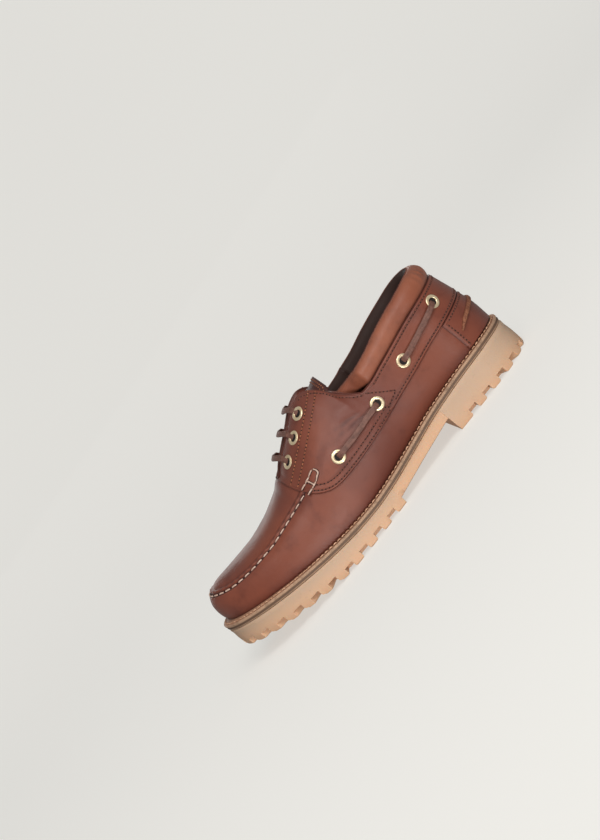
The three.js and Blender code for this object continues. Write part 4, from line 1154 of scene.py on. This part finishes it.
# a dark disc set down in each ring's hole: painted shade there
eyelet_shade, shader = start_material("eyelet_hole_shade")
Wire.feed(shader.inputs["Base Color"], tint(noise(500), (0.006, 0.003, 0.003), (0.014, 0.006, 0.005)))
fix(shader, Roughness=0.8)
bpy.ops.object.select_all(action="DESELECT")
bpy.ops.mesh.primitive_torus_add(major_radius=EYELET_RADIUS * MM, minor_radius=EYELET_ROLL * MM,
                                 major_segments=40, minor_segments=12)
ring_model = bpy.context.object
bpy.ops.object.mode_set(mode="EDIT")
bpy.ops.transform.resize(value=(1, 1, 0.5))
bpy.ops.object.mode_set(mode="OBJECT")
ring_model.data.materials.append(brass)
ring_model.data.materials.append(eyelet_shade)
bpy.ops.object.shade_smooth()
bpy.ops.mesh.primitive_circle_add(vertices=32, radius=3.3 * MM, fill_type="NGON", location=(0, 0, -0.25 * MM))
shade_disc = bpy.context.object
shade_disc.data.materials.append(eyelet_shade)
bpy.ops.object.transform_apply(location=True)
shade_disc.select_set(True)
ring_model.select_set(True)
bpy.context.view_layer.objects.active = ring_model
bpy.ops.object.join()
FACING_EYELETS = [(175.4, 79.7), (159.3, 87.6), (143.8, 96.1)]
SIDE_EYELETS = [(151.5, 58.4), (105.2, 60.6), (69.9, 64.8), (24.8, 74.0)]


def on_face(s, z, side, out):
    walk = float(face.walk_for(s))
    up = float(face.up_for(walk, side, z))
    points, normals = face.at(np.array([walk]), np.array([up]), side, out)
    return points[0], normals[0]


for name, side in (("lateral", 1), ("medial", -1)):
    for kind, spots in (("eyelet", FACING_EYELETS), ("side_eyelet", SIDE_EYELETS)):
        for k, (s, z) in enumerate(spots):
            at, up = on_face(s, z, side, GAP + LEATHER + 0.45)
            mesh = ring_model.data.copy()
            turn = Vector((0, 0, 1)).rotation_difference(Vector(up)).to_matrix().to_4x4()
            mesh.transform(Matrix.Translation(Vector(at) * MM) @ turn)
            ring = bpy.data.objects.new(f"{kind}_{name}_{k + 1}_ring", mesh)
            bpy.context.collection.objects.link(ring)
            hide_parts(f"{kind}_{name}_{k + 1}")
            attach(ring, "root")
bpy.data.objects.remove(ring_model)

# ------------------------------------------------------------------ laces
# Flat rawhide thong: three bars across the throat and two short runs down each side, each dipping
# into its eyelets and going on out of sight.
lace_hide, shader = start_material("lace_leather")
fibre = noise(420, 5, 0.65)
streaks = noise(1.0, 4, 0.6, Wire.node("ShaderNodeMapping", {"vector_type": "POINT"}, {
    "Vector": Wire.node("ShaderNodeTexCoord", output=3), "Scale": (900, 120, 900)}))
worn = (fibre * 0.6 + streaks * 0.4).between(0.3, 0.7)
dress(shader, tint(worn, (0.11, 0.043, 0.030), (0.25, 0.115, 0.085)), fibre * 0.2 + 0.5,
      bump(streaks + fibre * 0.5, 0.4, 0.0003))
LACE_WIDTH, LACE_THICK = 4.4, 1.5
LACE_CORNERS = [(math.copysign(abs(math.cos(t)) ** 0.5, math.cos(t)),
                 math.copysign(abs(math.sin(t)) ** 0.6, math.sin(t)))
                for t in np.linspace(0, 2 * math.pi, 16, endpoint=False)]


def lace(name, nodes, points, normals):
    """A flat thong swept along points, lying flat against their normals."""
    points, normals = np.array(points), np.array(normals)
    run = np.gradient(points, axis=0)
    run /= np.linalg.norm(run, axis=1, keepdims=True)
    aside = np.cross(run, normals)
    aside /= np.linalg.norm(aside, axis=1, keepdims=True)
    up = np.cross(aside, run)
    narrow = np.ones(len(points))
    narrow[[0, -1]] = 0.9
    rings = np.array([[p + a * n * cx * LACE_WIDTH / 2 + u * cy * LACE_THICK / 2 for cx, cy in LACE_CORNERS]
                      for p, a, u, n in zip(points, aside, up, narrow)])
    count = len(LACE_CORNERS)
    last = (len(points) - 1) * count
    faces = grid_faces(len(points), count, wrap=True)
    faces += [list(range(count))[::-1], list(range(last, last + count))]
    piece = new_piece(name, rings, faces, lace_hide, 60)
    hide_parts(*nodes)
    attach(piece, "root")
    return piece


def dip(t):
    """How high a run stands above the leather: down in the eyelets at both ends."""
    return np.interp(np.minimum(t, 1 - t), [0, 0.03, 0.07, 0.14, 0.3], [0.4, 1.9, 3.0, 3.2, 2.6])


BAR_BOW, BAR_SKEW = 5.6, 1.3  # the bars bow towards the toe, most on the medial side of the middle
BAR_RISE = (3.2, 2.8, 1.6)  # and stand clear of the tongue
RUN_SAG = 0.9  # the side runs sag a little
for k, (s, z) in enumerate(FACING_EYELETS):
    (a, na), (b, nb) = (on_face(s, z, side, GAP + LEATHER) for side in (1, -1))
    points, normals = [], []
    for t in np.linspace(0, 1, 41):
        p = mix(a, b, t)
        bow = math.sin(math.pi * t ** BAR_SKEW)
        p[1] -= BAR_BOW * bow
        s_here = LENGTH / 2 - p[1] - LAST_LEAN * (p[2] - LEAN_FROM)
        slope = (arch_height(s_here, p[0] + 1) - arch_height(s_here, p[0] - 1)) / 2
        over = arch_height(s_here, p[0]) + (GAP + LEATHER + 1.0 + BAR_RISE[k] * bow) * math.hypot(1, slope)
        blend = float(np.clip(min(t, 1 - t) / 0.12, 0, 1))
        lift = float(np.interp(min(t, 1 - t), [0, 0.04, 0.1, 0.2], [-1.4, 0.9, 1.0, 0.3]))
        p[2] = mix(p[2], over, blend) + lift
        points.append(p)
        n = mix(na, nb, t)
        normals.append(n / np.linalg.norm(n))
    lace(f"lace_bar_{k + 1}_thong", [f"lace_bar_{k + 1}"], points, normals)
for name, side in (("lateral", 1), ("medial", -1)):
    for run, first in (("front", 0), ("back", 2)):
        (s0, z0), (s1, z1) = SIDE_EYELETS[first], SIDE_EYELETS[first + 1]
        points, normals = [], []
        for t in np.linspace(0, 1, 41):
            z = mix(z0, z1, t) - RUN_SAG * math.sin(math.pi * t)
            p, n = on_face(mix(s0, s1, t), z, side, GAP + LEATHER + float(dip(t)) - 0.9)
            points.append(p)
            normals.append(n)
        lace(f"side_lace_{name}_{run}_thong", [f"side_lace_{name}_{run}"], points, normals)

# ------------------------------------------------------------------ floor, light and camera
# Not a part of the shoe: a pale paper sweep that it stands on, three soft lamps, a card of light
# behind it that is only seen reflected, and the camera.
FLOOR_WHITE = (0.42, 0.415, 0.397)
FLOOR_GLOW = 1.24
AIM = (0.0, 1.6845, 90.5945)  # the spot on the shoe's middle plane that the camera looks at
DISTANCE = 1284.506
AZIMUTH = 89.765
ELEVATION = 6.4716
ROLL = 51.1018
FOCAL = 1758 / 840 * 36  # of a sensor 36 mm high

paper, shader = start_material("paper_sweep")
fix(shader, Base_Color=(*FLOOR_WHITE, 1), Roughness=0.9, Specular_IOR_Level=0.1,
    Emission_Color=(*FLOOR_WHITE, 1), Emission_Strength=FLOOR_GLOW)
bend_radius, front, back, wall = 900.0, 9000.0, -700.0, 2600.0
turns = np.linspace(0, math.pi / 2, 24)
profile = [(front, 0.0),
           *[(back - bend_radius * math.sin(t), bend_radius * (1 - math.cos(t))) for t in turns],
           (back - bend_radius, wall)]
points = [(x, y, z) for y in (-4000.0, 4000.0) for x, z in profile]
floor = new_piece("floor", points, grid_faces(2, len(profile), flip=True), paper, 60)
# it is a backdrop only: the leather reflects the lamps and the dark of the room
floor.visible_diffuse = floor.visible_glossy = floor.visible_shadow = False

world = bpy.context.scene.world or bpy.data.worlds.new("studio")
bpy.context.scene.world = world
world.use_nodes = True
sky = world.node_tree.nodes["Background"]
sky.inputs["Color"].default_value = (1.0, 0.99, 0.965, 1)
sky.inputs["Strength"].default_value = 0.24


def soft_lamp(name, spot, aim, size, watts, colour=(1.0, 0.985, 0.96)):
    data = bpy.data.lights.new(name, "AREA")
    data.shape, data.size, data.size_y = "RECTANGLE", size[0], size[1]
    data.energy, data.color = watts, colour
    lamp = bpy.data.objects.new(name, data)
    bpy.context.collection.objects.link(lamp)
    lamp.location = Vector(spot)
    lamp.rotation_euler = (Vector(aim) - Vector(spot)).to_track_quat("-Z", "Y").to_euler()
    return lamp


soft_lamp("key", (2.25, 0.4, 1.95), (0, 0, 0.05), (2.4, 2.4), 42)
soft_lamp("glint", (1.15, 0.22, 0.98), (0, 0, 0.05), (0.34, 0.34), 3.0)
soft_lamp("low_fill", (1.2, -0.05, -0.38), (0, 0, 0.05), (0.36, 0.36), 6.0)
card = soft_lamp("back_card", (-1.2, -0.15, 0.27), (0, 0, 0.05), (1.2, 0.4), 2.6)
card.visible_camera = card.visible_diffuse = False  # only its reflection is wanted

az, el = math.radians(AZIMUTH), math.radians(ELEVATION)
away = Vector((math.sin(az) * math.cos(el), -math.cos(az) * math.cos(el), math.sin(el)))
side_axis = Vector((0, 0, 1)).cross(away).normalized()
level = Matrix((side_axis, away.cross(side_axis), away)).transposed()
data = bpy.data.cameras.new("camera")
data.lens, data.sensor_width = FOCAL, 36
camera = bpy.data.objects.new("camera", data)
bpy.context.collection.objects.link(camera)
camera.rotation_euler = (level @ Matrix.Rotation(-math.radians(ROLL), 3, "Z")).to_euler()
camera.location = Vector(AIM) * MM + away * DISTANCE * MM
data.clip_start, data.clip_end = 0.05, 20
bpy.context.scene.camera = camera
bpy.context.scene.view_settings.view_transform = "Standard"
